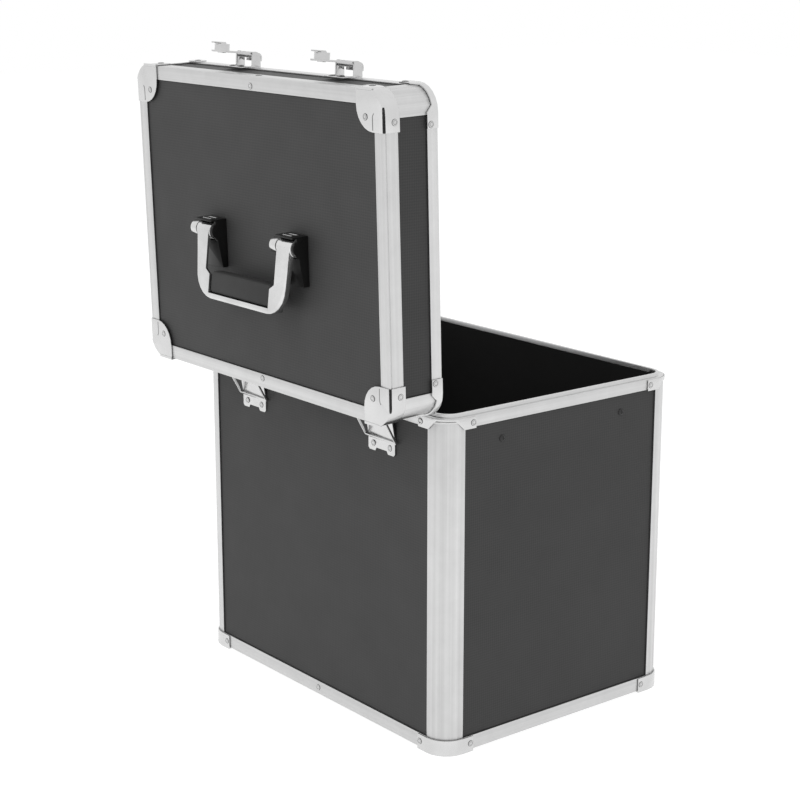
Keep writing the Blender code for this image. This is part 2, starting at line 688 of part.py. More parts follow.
def make_lid_corners():
    """Three-sided caps with a slit along each edge at the top, wrapped bands at the rim."""
    low = LID_HEIGHT - FACE_RAIL_SIDE - CAP_SIDE_EXTRA
    cap = corner_band("cap", low, LID_HEIGHT + PROUD)
    cap = join(cap, corner_petal("petal", LID_HEIGHT + GAP, LID_HEIGHT + PROUD))
    far = CORNER_REACH + OVERRUN
    slit_low, slit_high = LID_HEIGHT - CAP_SLIT_WIDTH, LID_HEIGHT + PROUD + OVERRUN
    cap = cut(cap, box("slit", (CAP_SLIT_START, -PROUD - OVERRUN, slit_low), (far, CAP_SLIT_WIDTH, slit_high)))
    cap = cut(cap, box("slit", (-PROUD - OVERRUN, CAP_SLIT_START, slit_low), (CAP_SLIT_WIDTH, far, slit_high)))
    middle = CORNER_REACH - CAP_PETAL_RADIUS * CAP_RIVET_SHARE
    cap = join(cap, gather(side_rivets(CAP_SIDE_RIVET, LID_HEIGHT - FACE_RAIL_SIDE * RAIL_RIVET_SHARE)
                           + [rivet((middle, middle, LID_HEIGHT + PROUD), (0, 0, 1))]))
    four_corners(cap, "lid_top_corner", CHROME, 0, LID)
    high = LID_RAIL_HEIGHT + WING_EXTRA
    wing = corner_band("wing", GAP, high)
    wing = cut(wing, wing_cutter(LID_BAND, high + GAP, False))
    wing = join(wing, gather(side_rivets(CORNER_REACH - RIVET_FROM_END, high * RAIL_RIVET_SHARE)))
    four_corners(wing, "lid_rim_corner", CHROME, 0, LID)


def make_lid_lining():
    low = lid_rail_floor() + GAP
    high = LID_HEIGHT - SKIN - GAP - PANEL - GAP
    finish(make_lining("lid_lining", low, high, False), "lid_lining", BLACK_LINING, lid_place(), 0, LID)


def leaf(foot_start, foot_end):
    """One hinge leaf in its own frame: x along the pin, y out from the case wall, z away from the pin.

    The foot lies on the wall, and the web slopes out from it to the knuckle at the pin.
    """
    half, notch, chip = HINGE_WIDTH / 2, HINGE_NOTCH_WIDTH / 2, HINGE_LOBE_CORNER
    wall, tip = -HINGE_AXIS_OUT - SKIN, KNUCKLE_RADIUS - GAP
    reach = half + OVERRUN
    sheet = [(wall, foot_end + OVERRUN), (wall + SKIN, foot_end + OVERRUN), (wall + SKIN, foot_start), (tip, 0),
             (tip - SKIN, 0), (wall, foot_start - SKIN)]
    blank = join(prism("leaf", sheet, -reach, reach, "X"),
                 rod("knuckle", (-reach, 0, 0), (reach, 0, 0), KNUCKLE_RADIUS))
    end = foot_end - HINGE_NOTCH_DEPTH
    outline = [(-half, -reach), (-half, foot_end - chip), (-half + chip, foot_end), (-notch - chip, foot_end),
               (-notch, end), (notch, end), (notch + chip, foot_end), (half - chip, foot_end),
               (half, foot_end - chip), (half, -reach)]
    blank = common(blank, prism("outline", outline, -reach, reach, "Y"))
    blank = cut(blank, rod("bore", (-reach, 0, 0), (reach, 0, 0), PIN_RADIUS + PIN_PLAY, sides=12))
    rise = foot_end - HINGE_RIVET_DROP
    return join(blank, gather([rivet((x, wall + SKIN, rise), (0, 1, 0))
                               for x in (-HINGE_RIVET_SPACING / 2, HINGE_RIVET_SPACING / 2)]))


def hinge_stay(foot_start):
    """The sloping frame outside the web that stops the open lid: a bottom strap, two arms and a top bar."""
    root = -HINGE_AXIS_OUT - SKIN / 2
    low = -foot_start - STAY_DEPTH
    inner = HINGE_WIDTH / 2 + STAY_OFFSET
    outer = inner + STAY_WIDTH
    lean = STAY_LEAN_SHARE
    high = HINGE_AXIS_OUT - STAY_CLEARANCE - lean * (root + STAY_DEPTH - low * STAY_SLOPE)
    high /= 1 + lean * STAY_SLOPE
    far = root + (high - low) * STAY_SLOPE
    side = [(root, low), (root + STAY_DEPTH, low), (far + STAY_DEPTH, high), (far, high)]
    window = box("window", (-inner, root - OVERRUN, -foot_start),
                 (inner, far + STAY_DEPTH + OVERRUN, high - STAY_DEPTH))
    return cut(prism("stay", side, -outer, outer, "X"), window)


def make_hinges():
    """Two stop hinges: a leaf on the body with the stay that stops the lid, a leaf on the lid, and a pin."""
    foot_start = AXIS_Z - (BODY_HEIGHT - HINGE_FOOT_TOP)
    relief = KNUCKLE_RELIEF
    inner = KNUCKLE_WIDTH / 2 + GAP
    half = HINGE_WIDTH / 2
    body_leaf = leaf(foot_start, foot_start + HINGE_FOOT_HEIGHT)
    body_leaf = cut(body_leaf, box("relief", (-inner, -relief, -relief), (inner, relief, relief)))
    body_leaf.data.transform(Matrix.Scale(-1, 4, (0, 0, 1)))
    outward(body_leaf.data)
    body_leaf = join(body_leaf, hinge_stay(foot_start))
    lid_leaf = leaf(LID_LEAF_START, LID_LEAF_START + HINGE_FOOT_HEIGHT)
    ends = [box("relief", (start, -relief, -relief), (start + half, relief, relief))
            for start in (KNUCKLE_WIDTH / 2, -KNUCKLE_WIDTH / 2 - half)]
    lid_leaf = cut(lid_leaf, gather(ends))
    pin = rod("pin", (-half - PIN_PLAY, 0, 0), (half + PIN_PLAY, 0, 0), PIN_RADIUS, sides=12)
    finish(body_leaf, "hinge_body_leaf_left", CHROME, (-HINGE_OFFSET, AXIS_Y, AXIS_Z))
    copy_of(body_leaf, "hinge_body_leaf_right", (HINGE_OFFSET, AXIS_Y, AXIS_Z))
    finish(pin, "hinge_pin_left", CHROME, (-HINGE_OFFSET, AXIS_Y, AXIS_Z))
    copy_of(pin, "hinge_pin_right", (HINGE_OFFSET, AXIS_Y, AXIS_Z))
    finish(lid_leaf, "hinge_lid_leaf_left", CHROME, (-HINGE_OFFSET, 0, 0), 0, LID)
    copy_of(lid_leaf, "hinge_lid_leaf_right", (HINGE_OFFSET, 0, 0))


def latch_base():
    """The riveted base and its two fan-shaped ears, with the pin across them, about the pin's middle."""
    up, out = LATCH_PIVOT_UP, LATCH_PIVOT_OUT
    half = LATCH_BASE_WIDTH / 2
    low = out - GAP
    start, end = LATCH_BASE_START - up, LATCH_BASE_END - up
    ear = [(low, start), (low, end), (low - LATCH_SHEET, end), (low - LATCH_SHEET, LATCH_EAR_END)]
    ear += arc((0, 0), LATCH_EAR_NOSE, 90, 180) + arc((-start - LATCH_EAR_NOSE, 0), -start, 180, 270)
    plate = box("latch_base", (-half, low - LATCH_SHEET, LATCH_BASE_PLATE_START - up), (half, low, end))
    ears = [prism("ear", ear, start, start + LATCH_SHEET, "X") for start in (-half, half - LATCH_SHEET)]
    pin = rod("pin", (-half, 0, 0), (half, 0, 0), PIN_RADIUS, sides=12)
    rivet_rise = (LATCH_BASE_PLATE_START + LATCH_BASE_END) / 2 - up
    rivets = [rivet((x, low - LATCH_SHEET, rivet_rise), (0, -1, 0)) for x in (-half / 2, half / 2)]
    return join(plate, ears[0], ears[1], pin, gather(rivets))


def latch_lever():
    """The lever as it lies when flipped open: its inner face, with the lock, looks away from the lid."""
    half, tab = LEVER_WIDTH / 2, LEVER_TAB_WIDTH / 2
    reach = LEVER_LENGTH
    shoulder = reach - LEVER_TAB_LENGTH
    near, far = -LEVER_OFFSET - LEVER_SHEET / 2, -LEVER_OFFSET + LEVER_SHEET / 2
    neck = shoulder + LEVER_TAB_LENGTH * LEVER_SHOULDER_SHARE
    outline = [(-half, 0), (half, 0), (half, shoulder), (tab, neck)]
    outline += arc((0, reach - tab), tab, 30, 150, 4) + [(-tab, neck), (-half, shoulder)]
    lever = prism("lever", outline, near, far, "Y")
    bend = LEVER_NOSE_RADIUS
    outer = arc((near + bend, -LEVER_NOSE_REACH + bend), bend, 180, 270, 4)
    inner = arc((near + bend, -LEVER_NOSE_REACH + bend), bend - LEVER_SHEET, 270, 180, 4)
    nose = [(near, PIN_RADIUS)] + outer + [(LEVER_NOSE_DROP, -LEVER_NOSE_REACH),
                                           (LEVER_NOSE_DROP, -LEVER_NOSE_REACH + LEVER_SHEET)] + inner
    nose.append((far, PIN_RADIUS))
    lever = join(lever, prism("nose", nose, -half, half, "X"))
    lever = join(lever, rod("knuckle", (-half, 0, 0), (half, 0, 0), KNUCKLE_RADIUS))
    lever = cut(lever, rod("bore", (-half - OVERRUN, 0, 0), (half + OVERRUN, 0, 0), PIN_RADIUS + PIN_PLAY,
                           sides=12))
    lock_end = near - LOCK_HEIGHT
    lever = join(lever, rod("lock", (0, far - LEVER_SHEET / 2, LOCK_REACH), (0, lock_end, LOCK_REACH),
                            LOCK_RADIUS, sides=24))
    return cut(lever, rod("bore", (0, far + OVERRUN, LOCK_REACH), (0, lock_end - OVERRUN, LOCK_REACH),
                          BARREL_RADIUS + GAP))


def lock_barrel():
    """The lock's turning core about its own axis: a slotted face at one end, the cam at the other."""
    near, far = -LEVER_OFFSET - LEVER_SHEET / 2, -LEVER_OFFSET + LEVER_SHEET / 2
    face = far + BARREL_FACE
    cam_start = near - LOCK_HEIGHT - GAP
    barrel = rod("barrel", (0, face, 0), (0, cam_start - CAM_THICKNESS / 2, 0), BARREL_RADIUS)
    half = CAM_WIDTH / 2
    outline = [(-half, -half), (half, -half), (half, CAM_REACH), (-half, CAM_REACH)]
    barrel = join(barrel, prism("cam", outline, cam_start - CAM_THICKNESS, cam_start, "Y"))
    slot = box("slot", (-BARREL_SLOT_WIDTH / 2, face - BARREL_SLOT_DEPTH, -BARREL_SLOT_LENGTH / 2),
               (BARREL_SLOT_WIDTH / 2, face + OVERRUN, BARREL_SLOT_LENGTH / 2))
    return cut(barrel, slot)


def latch_catch():
    """The keeper plate on the body, with two lips that the cam turns under."""
    half, tall = CATCH_WIDTH / 2, CATCH_HEIGHT / 2
    base = PANEL_INSET - GAP
    plate = box("catch", (-half, base - SKIN, -tall), (half, base, tall))
    pieces = [plate]
    top = -CATCH_LIP_UP
    for sign in (-1, 1):
        outline = [(sign * CATCH_WALL, base - SKIN / 2), (sign * (CATCH_WALL + SKIN), base - SKIN / 2),
                   (sign * (CATCH_WALL + SKIN), top), (sign * CATCH_LIP, top), (sign * CATCH_LIP, top + SKIN),
                   (sign * CATCH_WALL, top + SKIN)]
        pieces.append(prism("lip", outline, -CATCH_LIP_LENGTH / 2, CATCH_LIP_LENGTH / 2))
    rivets = [rivet((0, base - SKIN, z), (0, -1, 0)) for z in (-tall + RIVET_FROM_END, tall - RIVET_FROM_END)]
    return join(pieces[0], pieces[1], pieces[2], gather(rivets))


def make_latches():
    """Two key latches on the lid's front wall and their catches on the body."""
    front = -CASE_DEPTH / 2
    base = latch_base()
    lever = latch_lever()
    barrel = lock_barrel()
    catch = latch_catch()
    closed_rise = BODY_HEIGHT + LID_SEAT + LATCH_PIVOT_UP - LOCK_REACH
    for number, (side, x) in enumerate((("left", -LATCH_OFFSET), ("right", LATCH_OFFSET))):
        pivot = lid_place(x, front - LATCH_PIVOT_OUT, LATCH_PIVOT_UP)
        lever_axis = axis_empty("latch_axis_" + side, pivot, LID, (LEVER_TILT, 0, 0))
        lock_axis = axis_empty("lock_axis_" + side, (0, 0, LOCK_REACH), lever_axis)
        if number == 0:
            finish(base, "latch_base_" + side, CHROME, pivot, 0, LID)
            finish(lever, "latch_lever_" + side, CHROME, (0, 0, 0), 0, lever_axis)
            finish(barrel, "lock_barrel_" + side, CHROME, (0, 0, 0), 0, lock_axis)
            finish(catch, "latch_catch_" + side, CHROME, (x, front, closed_rise))
        else:
            copy_of(base, "latch_base_" + side, pivot)
            copy_of(lever, "latch_lever_" + side, (0, 0, 0)).parent = lever_axis
            copy_of(barrel, "lock_barrel_" + side, (0, 0, 0)).parent = lock_axis
            copy_of(catch, "latch_catch_" + side, (x, front, closed_rise))


def handle_mount():
    """A plastic fork about the handle's axis: two cheeks with round noses, a roof and a tapered foot.

    Along x it lies on the axis, along y it runs down the lid, and z points out of the lid.
    """
    base = -HANDLE_AXIS_OUT - PANEL_INSET + GAP
    half = MOUNT_WIDTH / 2
    cheek_top = base + MOUNT_CHEEK_HEIGHT
    pocket = BOW_HEAD_RADIUS + BOW_PLAY
    roof_end = -pocket - MOUNT_ROOF_THICKNESS
    nose_start = 180 - math.degrees(math.asin(cheek_top / MOUNT_NOSE_RADIUS))
    outline = [(roof_end, base), (roof_end, cheek_top)] + arc((0, 0), MOUNT_NOSE_RADIUS, nose_start, 40, 10)
    foot = MOUNT_FOOT_END
    outline += [(pocket, base + MOUNT_FOOT_THICK), (foot, base + MOUNT_FOOT_THIN), (foot, base)]
    mount = prism("mount", outline, -half, half, "X")
    inner = half - MOUNT_CHEEK
    mount = cut(mount, box("pocket", (-inner, -pocket, base - OVERRUN), (inner, pocket, pocket)))
    mount = join(mount, box("roof", (-half, roof_end, base), (half, -pocket, base + MOUNT_ROOF_REACH)))
    bore_start = MOUNT_BORE_CAP - half
    return cut(mount, rod("bore", (bore_start, 0, 0), (half + OVERRUN, 0, 0), HANDLE_PIN_RADIUS + PIN_PLAY))


def bow_outline():
    """The bow seen from outside: two broad arms, the tray's cheeks and a bottom bar."""
    arm_in = HANDLE_SPREAD - BOW_ARM_WIDTH / 2
    arm_out = HANDLE_SPREAD + BOW_ARM_WIDTH / 2
    cheek = TRAY_HALF_LENGTH - TRAY_WALL
    bar_top = BOW_DROP - BOW_BAR_HEIGHT
    tray_top = bar_top - TRAY_HEIGHT
    bend = BOW_CORNER_RADIUS
    right = [(arm_out, 0)] + arc((arm_out - BOW_TAPER - bend, BOW_DROP - bend), bend, 0, 90)
    inside = [(cheek, bar_top), (cheek, tray_top), (arm_in, tray_top - BOW_CHEEK_SLOPE), (arm_in, 0)]
    mirrored = [(-x, y) for x, y in reversed(inside)] + inside
    return right + [(-x, y) for x, y in reversed(right)] + mirrored


def bow_hollow():
    """What lies inside the rim that runs down the bow's outer edge."""
    arm_out = HANDLE_SPREAD + BOW_ARM_WIDTH / 2 - BOW_SHEET
    bend = BOW_CORNER_RADIUS
    middle = HANDLE_SPREAD + BOW_ARM_WIDTH / 2 - BOW_TAPER - bend
    right = [(arm_out, -OVERRUN)] + arc((middle, BOW_DROP - bend), bend - BOW_SHEET, 0, 90)
    return right + [(-x, y) for x, y in reversed(right)]


def bow_head(centre):
    """The top of one arm: a barrel between its mount's cheeks, and the pin with its head on one side."""
    barrel = MOUNT_WIDTH / 2 - MOUNT_CHEEK - GAP
    pin_start = centre - MOUNT_WIDTH / 2 + MOUNT_BORE_CAP + GAP
    head_start = centre + MOUNT_WIDTH / 2 + GAP
    return [rod("barrel", (centre - barrel, 0, 0), (centre + barrel, 0, 0), BOW_HEAD_RADIUS, sides=32),
            rod("pin", (pin_start, 0, 0), (head_start + OVERRUN, 0, 0), HANDLE_PIN_RADIUS),
            rod("pin_head", (head_start, 0, 0), (head_start + HANDLE_PIN_HEAD_LENGTH, 0, 0),
                HANDLE_PIN_HEAD_RADIUS, sides=24)]


def handle_bow():
    """The metal bow with its axis at the origin: y runs down the bow, and z points out of the lid."""
    bow = prism("bow", bow_outline(), BOW_FACE - BOW_RIM_DEPTH, BOW_FACE)
    bow = cut(bow, prism("hollow", bow_hollow(), BOW_FACE - BOW_RIM_DEPTH - OVERRUN, BOW_FACE - BOW_SHEET))
    tray, back = TRAY_HALF_LENGTH, BOW_FACE - TRAY_DEPTH
    bar_top = BOW_DROP - BOW_BAR_HEIGHT
    bar_end = bar_top + TRAY_BAR_THICKNESS
    bow = join(bow, box("bar", (-tray, bar_top, back), (tray, bar_end, BOW_FACE)))
    for side in (-1, 1):
        ends = sorted((side * tray, side * (tray - TRAY_WALL)))
        bow = join(bow, box("wall", (ends[0], bar_top - TRAY_HEIGHT, back), (ends[1], bar_end, BOW_FACE)))
    for centre in (-HANDLE_SPREAD, HANDLE_SPREAD):
        bow = join(bow, *bow_head(centre))
    return bow


def handle_grip():
    """The soft block that fills the bow's tray."""
    half = TRAY_HALF_LENGTH - TRAY_WALL - GAP
    bottom = BOW_DROP - BOW_BAR_HEIGHT - GAP
    front = BOW_FACE - GRIP_RECESS
    grip = box("grip", (-half, bottom - GRIP_HEIGHT, front - GRIP_DEPTH), (half, bottom, front))
    bevel = grip.modifiers.new("Bevel", "BEVEL")
    bevel.width = GRIP_ROUNDING
    bevel.segments = GRIP_ROUNDING_STEPS
    return settle(grip)


def make_handle():
    """The handle hangs a little off the lid's top face, between its two mounts."""
    at = lid_place(0, HANDLE_AXIS_SHIFT, LID_HEIGHT + HANDLE_AXIS_OUT)
    handle_axis = axis_empty("handle_axis", at, LID, (HANDLE_TILT, 0, 0))
    finish(handle_bow(), "handle_bow", CHROME, (0, 0, 0), 0, handle_axis)
    finish(handle_grip(), "handle_grip", GREY_GRIP, (0, 0, 0), 0, handle_axis)
    mount = handle_mount()
    finish(mount, "handle_mount_left", BLACK_PLASTIC, (at[0] - HANDLE_SPREAD, at[1], at[2]), 0, LID)
    copy_of(mount, "handle_mount_right", (at[0] + HANDLE_SPREAD, at[1], at[2]))


make_body_panels()
make_body_frame()
make_body_corners()
make_body_lining()
make_file_rails()
make_lid_panels()
make_lid_frame()
make_lid_corners()
make_lid_lining()
make_hinges()
make_latches()
make_handle()
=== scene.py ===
import json
import math

import bmesh
import bpy
import numpy as np
from mathutils import Matrix, Vector

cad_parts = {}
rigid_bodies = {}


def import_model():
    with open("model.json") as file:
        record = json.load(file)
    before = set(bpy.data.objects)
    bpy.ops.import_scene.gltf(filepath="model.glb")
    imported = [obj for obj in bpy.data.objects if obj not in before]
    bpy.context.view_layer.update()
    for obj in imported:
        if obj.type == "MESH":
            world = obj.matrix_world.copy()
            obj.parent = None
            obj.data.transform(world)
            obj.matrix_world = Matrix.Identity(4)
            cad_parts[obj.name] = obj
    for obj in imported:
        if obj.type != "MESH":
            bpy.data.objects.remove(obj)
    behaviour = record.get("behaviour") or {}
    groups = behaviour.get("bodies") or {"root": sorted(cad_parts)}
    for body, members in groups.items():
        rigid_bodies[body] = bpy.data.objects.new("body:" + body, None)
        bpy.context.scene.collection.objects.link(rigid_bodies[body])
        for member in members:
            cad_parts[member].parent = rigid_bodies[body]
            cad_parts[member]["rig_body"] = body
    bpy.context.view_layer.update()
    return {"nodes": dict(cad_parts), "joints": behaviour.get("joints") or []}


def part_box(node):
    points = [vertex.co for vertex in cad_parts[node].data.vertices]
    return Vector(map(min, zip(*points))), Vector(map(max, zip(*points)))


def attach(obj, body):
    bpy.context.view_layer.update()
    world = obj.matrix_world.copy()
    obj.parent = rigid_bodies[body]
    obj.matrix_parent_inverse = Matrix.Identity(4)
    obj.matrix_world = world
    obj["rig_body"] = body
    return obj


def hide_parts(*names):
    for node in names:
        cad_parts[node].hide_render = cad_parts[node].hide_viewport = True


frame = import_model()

MM = 0.001


# Black boards
# Ten thin fibreboards close the case: four walls and a floor below, a top and four low walls in the lid.
# They are faced with black plastic, embossed with a fine diamond weave, and slide into the frame's slots.
DIAMOND_WIDTH = 2.3 * MM
BOARD_GREYS_WITH_GROOVE_SHADE = (0.027, 0.041)
BOARD_ROUGHNESS = (0.52, 0.66)
BOARD_SHINE = 0.4


def new_material(name, roughness=0.5, metallic=0.0):
    """A material and its shader, with the values that are the same all over."""
    material = bpy.data.materials.new(name)
    material.use_nodes = True
    shader = material.node_tree.nodes["Principled BSDF"]
    shader.inputs["Roughness"].default_value = roughness
    shader.inputs["Metallic"].default_value = metallic
    return material, shader


def add_node(tree, kind, inputs=None, **settings):
    """A node with its settings, its inputs set to values or linked to other nodes' outputs."""
    made = tree.nodes.new(kind)
    for name, value in settings.items():
        setattr(made, name, value)
    for name, value in (inputs or {}).items():
        if isinstance(value, bpy.types.NodeSocket):
            tree.links.new(value, made.inputs[name])
        else:
            made.inputs[name].default_value = value
    return made


def work_out(tree, operation, first, second=0.0):
    """The result of one sum on two values."""
    return add_node(tree, "ShaderNodeMath", {0: first, 1: second}, operation=operation).outputs[0]


def noise(tree, place, scale, detail=2.0, roughness=0.5):
    """Smooth random values from 0 to 1."""
    return add_node(tree, "ShaderNodeTexNoise", {"Vector": place, "Scale": scale, "Detail": detail,
                                                 "Roughness": roughness}).outputs[0]


def spread(tree, value, low, high, start=0.0, end=1.0):
    """A value that ran from start to end, brought between low and high."""
    return add_node(tree, "ShaderNodeMapRange", {"Value": value, "From Min": start, "From Max": end,
                                                 "To Min": low, "To Max": high}).outputs[0]


def stretched(tree, place, scale):
    """Coordinates scaled unevenly, so that a pattern runs out in streaks."""
    return add_node(tree, "ShaderNodeMapping", {"Vector": place, "Scale": scale}).outputs[0]


def object_place(tree):
    return add_node(tree, "ShaderNodeTexCoord").outputs["Object"]


def add_bump(tree, shader, height, strength, distance):
    """Raise the surface's light and shade by a height from 0 to 1."""
    bump = add_node(tree, "ShaderNodeBump", {"Height": height, "Strength": strength, "Distance": distance})
    tree.links.new(bump.outputs[0], shader.inputs["Normal"])


def board_facing(name, across, up):
    """Black facing whose diamonds lie along two of the axes."""
    material, shader = new_material(name)
    tree = material.node_tree
    place = object_place(tree)
    axes = add_node(tree, "ShaderNodeSeparateXYZ", {"Vector": place})
    waves = []
    for slant in ("ADD", "SUBTRACT"):
        run = work_out(tree, slant, axes.outputs[across], axes.outputs[up])
        waves.append(work_out(tree, "SINE", work_out(tree, "MULTIPLY", run, math.pi / DIAMOND_WIDTH)))
    weave = work_out(tree, "MULTIPLY", waves[0], waves[1])
    patches = spread(tree, noise(tree, place, 14, 3), 0.88, 1.12)
    specks = spread(tree, noise(tree, place, 1900, 1), 0.93, 1.07)
    # The weave makes the grooves darker than the crests in the colour: painted shade in the emboss, on top of
    # the black's own tone.
    grey = work_out(tree, "MULTIPLY", spread(tree, weave, *BOARD_GREYS_WITH_GROOVE_SHADE, -1), patches)
    tree.links.new(work_out(tree, "MULTIPLY", grey, specks), shader.inputs["Base Color"])
    tree.links.new(spread(tree, noise(tree, place, 30, 4), *BOARD_ROUGHNESS), shader.inputs["Roughness"])
    shader.inputs["Specular IOR Level"].default_value = BOARD_SHINE
    add_bump(tree, shader, weave, 0.35, 0.05 * MM)
    return material


def repaint(name, material):
    """Give a CAD piece that keeps its shape another finish."""
    for painted in frame["nodes"][name].material_slots:
        painted.material = material


upright_facing = board_facing("board_facing_upright", "X", "Z")
side_facing = board_facing("board_facing_side", "Y", "Z")
flat_facing = board_facing("board_facing_flat", "X", "Y")
for name in ("front_panel", "back_panel", "lid_top_panel"):
    repaint(name, upright_facing)
for name in ("left_panel", "right_panel", "lid_left_panel", "lid_right_panel"):
    repaint(name, side_facing)
for name in ("floor_panel", "lid_front_panel", "lid_back_panel"):
    repaint(name, flat_facing)


# Linings
# A sheet of black felt on card lines the body and the lid, glued in with its seam at the back.
# The felt swallows nearly all light, so it needs only its nap: short fibres in every direction.
FELT_GREYS = (0.0045, 0.0095)


def plain_copy(name):
    """A merged copy of a CAD piece's mesh, with its flat faces whole."""
    shape = bmesh.new()
    shape.from_mesh(frame["nodes"][name].data)
    bmesh.ops.remove_doubles(shape, verts=shape.verts, dist=0.004 * MM)
    merge_flat_faces(shape)
    return shape


def merge_flat_faces(shape):
    bmesh.ops.dissolve_limit(shape, angle_limit=math.radians(0.6), verts=shape.verts, edges=shape.edges)


def applied(piece):
    """Swap a piece's mesh for the one that its modifiers give."""
    bpy.context.view_layer.update()
    graph = bpy.context.evaluated_depsgraph_get()
    mesh = bpy.data.meshes.new_from_object(piece.evaluated_get(graph))
    piece.modifiers.clear()
    piece.data = mesh
    return piece


def dressed(name, shape, material, rounding=0.0, segments=2, crease=35):
    """A piece from a worked copy of a CAD piece, with rounded edges, that stands for it and rides with it."""
    mesh = bpy.data.meshes.new(name + "_shell")
    shape.to_mesh(mesh)
    shape.free()
    piece = bpy.data.objects.new(name + "_shell", mesh)
    bpy.context.scene.collection.objects.link(piece)
    if rounding:
        bevel = piece.modifiers.new("Rounded edges", "BEVEL")
        bevel.width = rounding
        bevel.segments = segments
        bevel.limit_method = "ANGLE"
        bevel.angle_limit = math.radians(crease)
        bevel.miter_outer = "MITER_ARC"
        applied(piece)
    piece.data.materials.clear()
    piece.data.materials.append(material)
    piece.data.shade_smooth()
    piece.data.set_sharp_from_angle(angle=math.radians(crease + 5))
    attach(piece, frame["nodes"][name]["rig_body"])
    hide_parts(name)
    return piece


felt, felt_shader = new_material("black_felt", 0.95)
felt_tree = felt.node_tree
felt_place = object_place(felt_tree)
nap = noise(felt_tree, felt_place, 1600, 4, 0.7)
felt_patches = spread(felt_tree, noise(felt_tree, felt_place, 22, 3), 0.8, 1.2)
felt_grey = work_out(felt_tree, "MULTIPLY", spread(felt_tree, nap, *FELT_GREYS), felt_patches)
felt_tree.links.new(felt_grey, felt_shader.inputs["Base Color"])
felt_shader.inputs["Specular IOR Level"].default_value = 0.2
add_bump(felt_tree, felt_shader, nap, 0.6, 0.3 * MM)
for name in ("body_lining", "lid_lining"):
    dressed(name, plain_copy(name), felt, rounding=0.25 * MM, segments=1)


# Aluminium frame
# Extruded aluminium holds the boards: a base rail, four posts and a rim rail below; a rim rail that closes
# over the body's tongue, four short posts and a top rail in the lid. The die leaves fine lines and broad
# bands along each length, and the rails are bent round the corners from one length each.
METAL_ROUNDING = 0.28 * MM
ALUMINIUM_GREYS = (0.55, 0.67)
CORNER_RADIUS = 20.5 * MM
RIVET_TOP_SIDES = 10
RIVET_TOP_RADIUS = 1.8 * MM
RIVET_HEIGHT = 0.8 * MM

lid_hinge = next(joint for joint in frame["joints"] if joint["name"] == "lid_hinge")
hinge_at = Vector(lid_hinge["pos_m"])
close_turn = Matrix.Rotation(math.radians(lid_hinge["range_deg"][1]), 4, "X")
CLOSED_LID = Matrix.Translation(hinge_at) @ close_turn @ Matrix.Translation(-hinge_at)
OPEN_LID = CLOSED_LID.inverted()
HALF_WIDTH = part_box("base_rail")[1].x
HALF_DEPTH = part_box("body_post_back_left")[1].y
rivet_seats = {"body": [], "lid": []}


def take_off_rivets(shape, body):
    """Cut off the plain rivet heads, close the sheet under them and note where the real heads go."""
    area = RIVET_TOP_SIDES / 2 * RIVET_TOP_RADIUS ** 2 * math.sin(2 * math.pi / RIVET_TOP_SIDES)
    tops = [face for face in shape.faces
            if len(face.verts) == RIVET_TOP_SIDES and abs(face.calc_area() / area - 1) < 0.02]
    for top in tops:
        seat = top.calc_center_median() - top.normal * RIVET_HEIGHT
        rivet_seats[body].append((seat, top.normal.copy()))
        head = {face for corner in top.verts for face in corner.link_faces}
        foot = {edge for face in head for edge in face.edges
                if sum(other in head for other in edge.link_faces) == 1}
        bmesh.ops.delete(shape, geom=list(head), context="FACES_ONLY")
        bmesh.ops.contextual_create(shape, geom=[edge for edge in foot if edge.is_valid])
    loose = [edge for edge in shape.edges if not edge.link_faces]
    bmesh.ops.delete(shape, geom=loose, context="EDGES")
    loose = [corner for corner in shape.verts if not corner.link_edges]
    bmesh.ops.delete(shape, geom=loose, context="VERTS")
    bmesh.ops.recalc_face_normals(shape, faces=shape.faces)
    merge_flat_faces(shape)


def inset_of(point):
    """How far a point of the closed case lies inside its outline."""
    a, b = HALF_WIDTH - abs(point.x), HALF_DEPTH - abs(point.y)
    if a < CORNER_RADIUS and b < CORNER_RADIUS:
        return CORNER_RADIUS - math.hypot(CORNER_RADIUS - a, CORNER_RADIUS - b)
    return min(a, b)


def add_grain(piece, body, upright):
    """Note on each point how far along the extrusion it lies, and where in its section."""
    closed = CLOSED_LID if body == "lid" else Matrix.Identity(4)
    values = []
    for corner in piece.data.vertices:
        point = closed @ corner.co
        if upright:
            values += [point.z, abs(point.x) - abs(point.y), inset_of(point)]
        else:
            values += [point.x + point.y, inset_of(point), point.z]
    grain = piece.data.attributes.new("grain", "FLOAT_VECTOR", "POINT")
    grain.data.foreach_set("vector", np.array(values, np.float32))


def extruded_aluminium():
    material, shader = new_material("extruded_aluminium", metallic=1.0)
    tree = material.node_tree
    grain = add_node(tree, "ShaderNodeAttribute", attribute_name="grain").outputs["Vector"]
    bands = noise(tree, stretched(tree, grain, (0.9, 130, 130)), 1, 3, 0.6)
    lines = noise(tree, stretched(tree, grain, (5, 2600, 2600)), 1, 2, 0.6)
    scuffs = noise(tree, object_place(tree), 55, 5, 0.65)
    grey = spread(tree, bands, *ALUMINIUM_GREYS, 0.3, 0.7)
    grey = work_out(tree, "MULTIPLY", grey, spread(tree, lines, 0.95, 1.05, 0.2, 0.8))
    grey = work_out(tree, "MULTIPLY", grey, spread(tree, scuffs, 0.96, 1.04, 0.3, 0.7))
    tree.links.new(grey, shader.inputs["Base Color"])
    rough = work_out(tree, "ADD", spread(tree, lines, 0.24, 0.4), spread(tree, scuffs, -0.05, 0.07))
    tree.links.new(rough, shader.inputs["Roughness"])
    add_bump(tree, shader, lines, 0.18, 0.03 * MM)
    return material


aluminium = extruded_aluminium()
CORNERS = ("front_left", "front_right", "back_right", "back_left")
SPLIT_FROM_MIDDLE = 50 * MM
SPLIT_FROM_END = 38 * MM


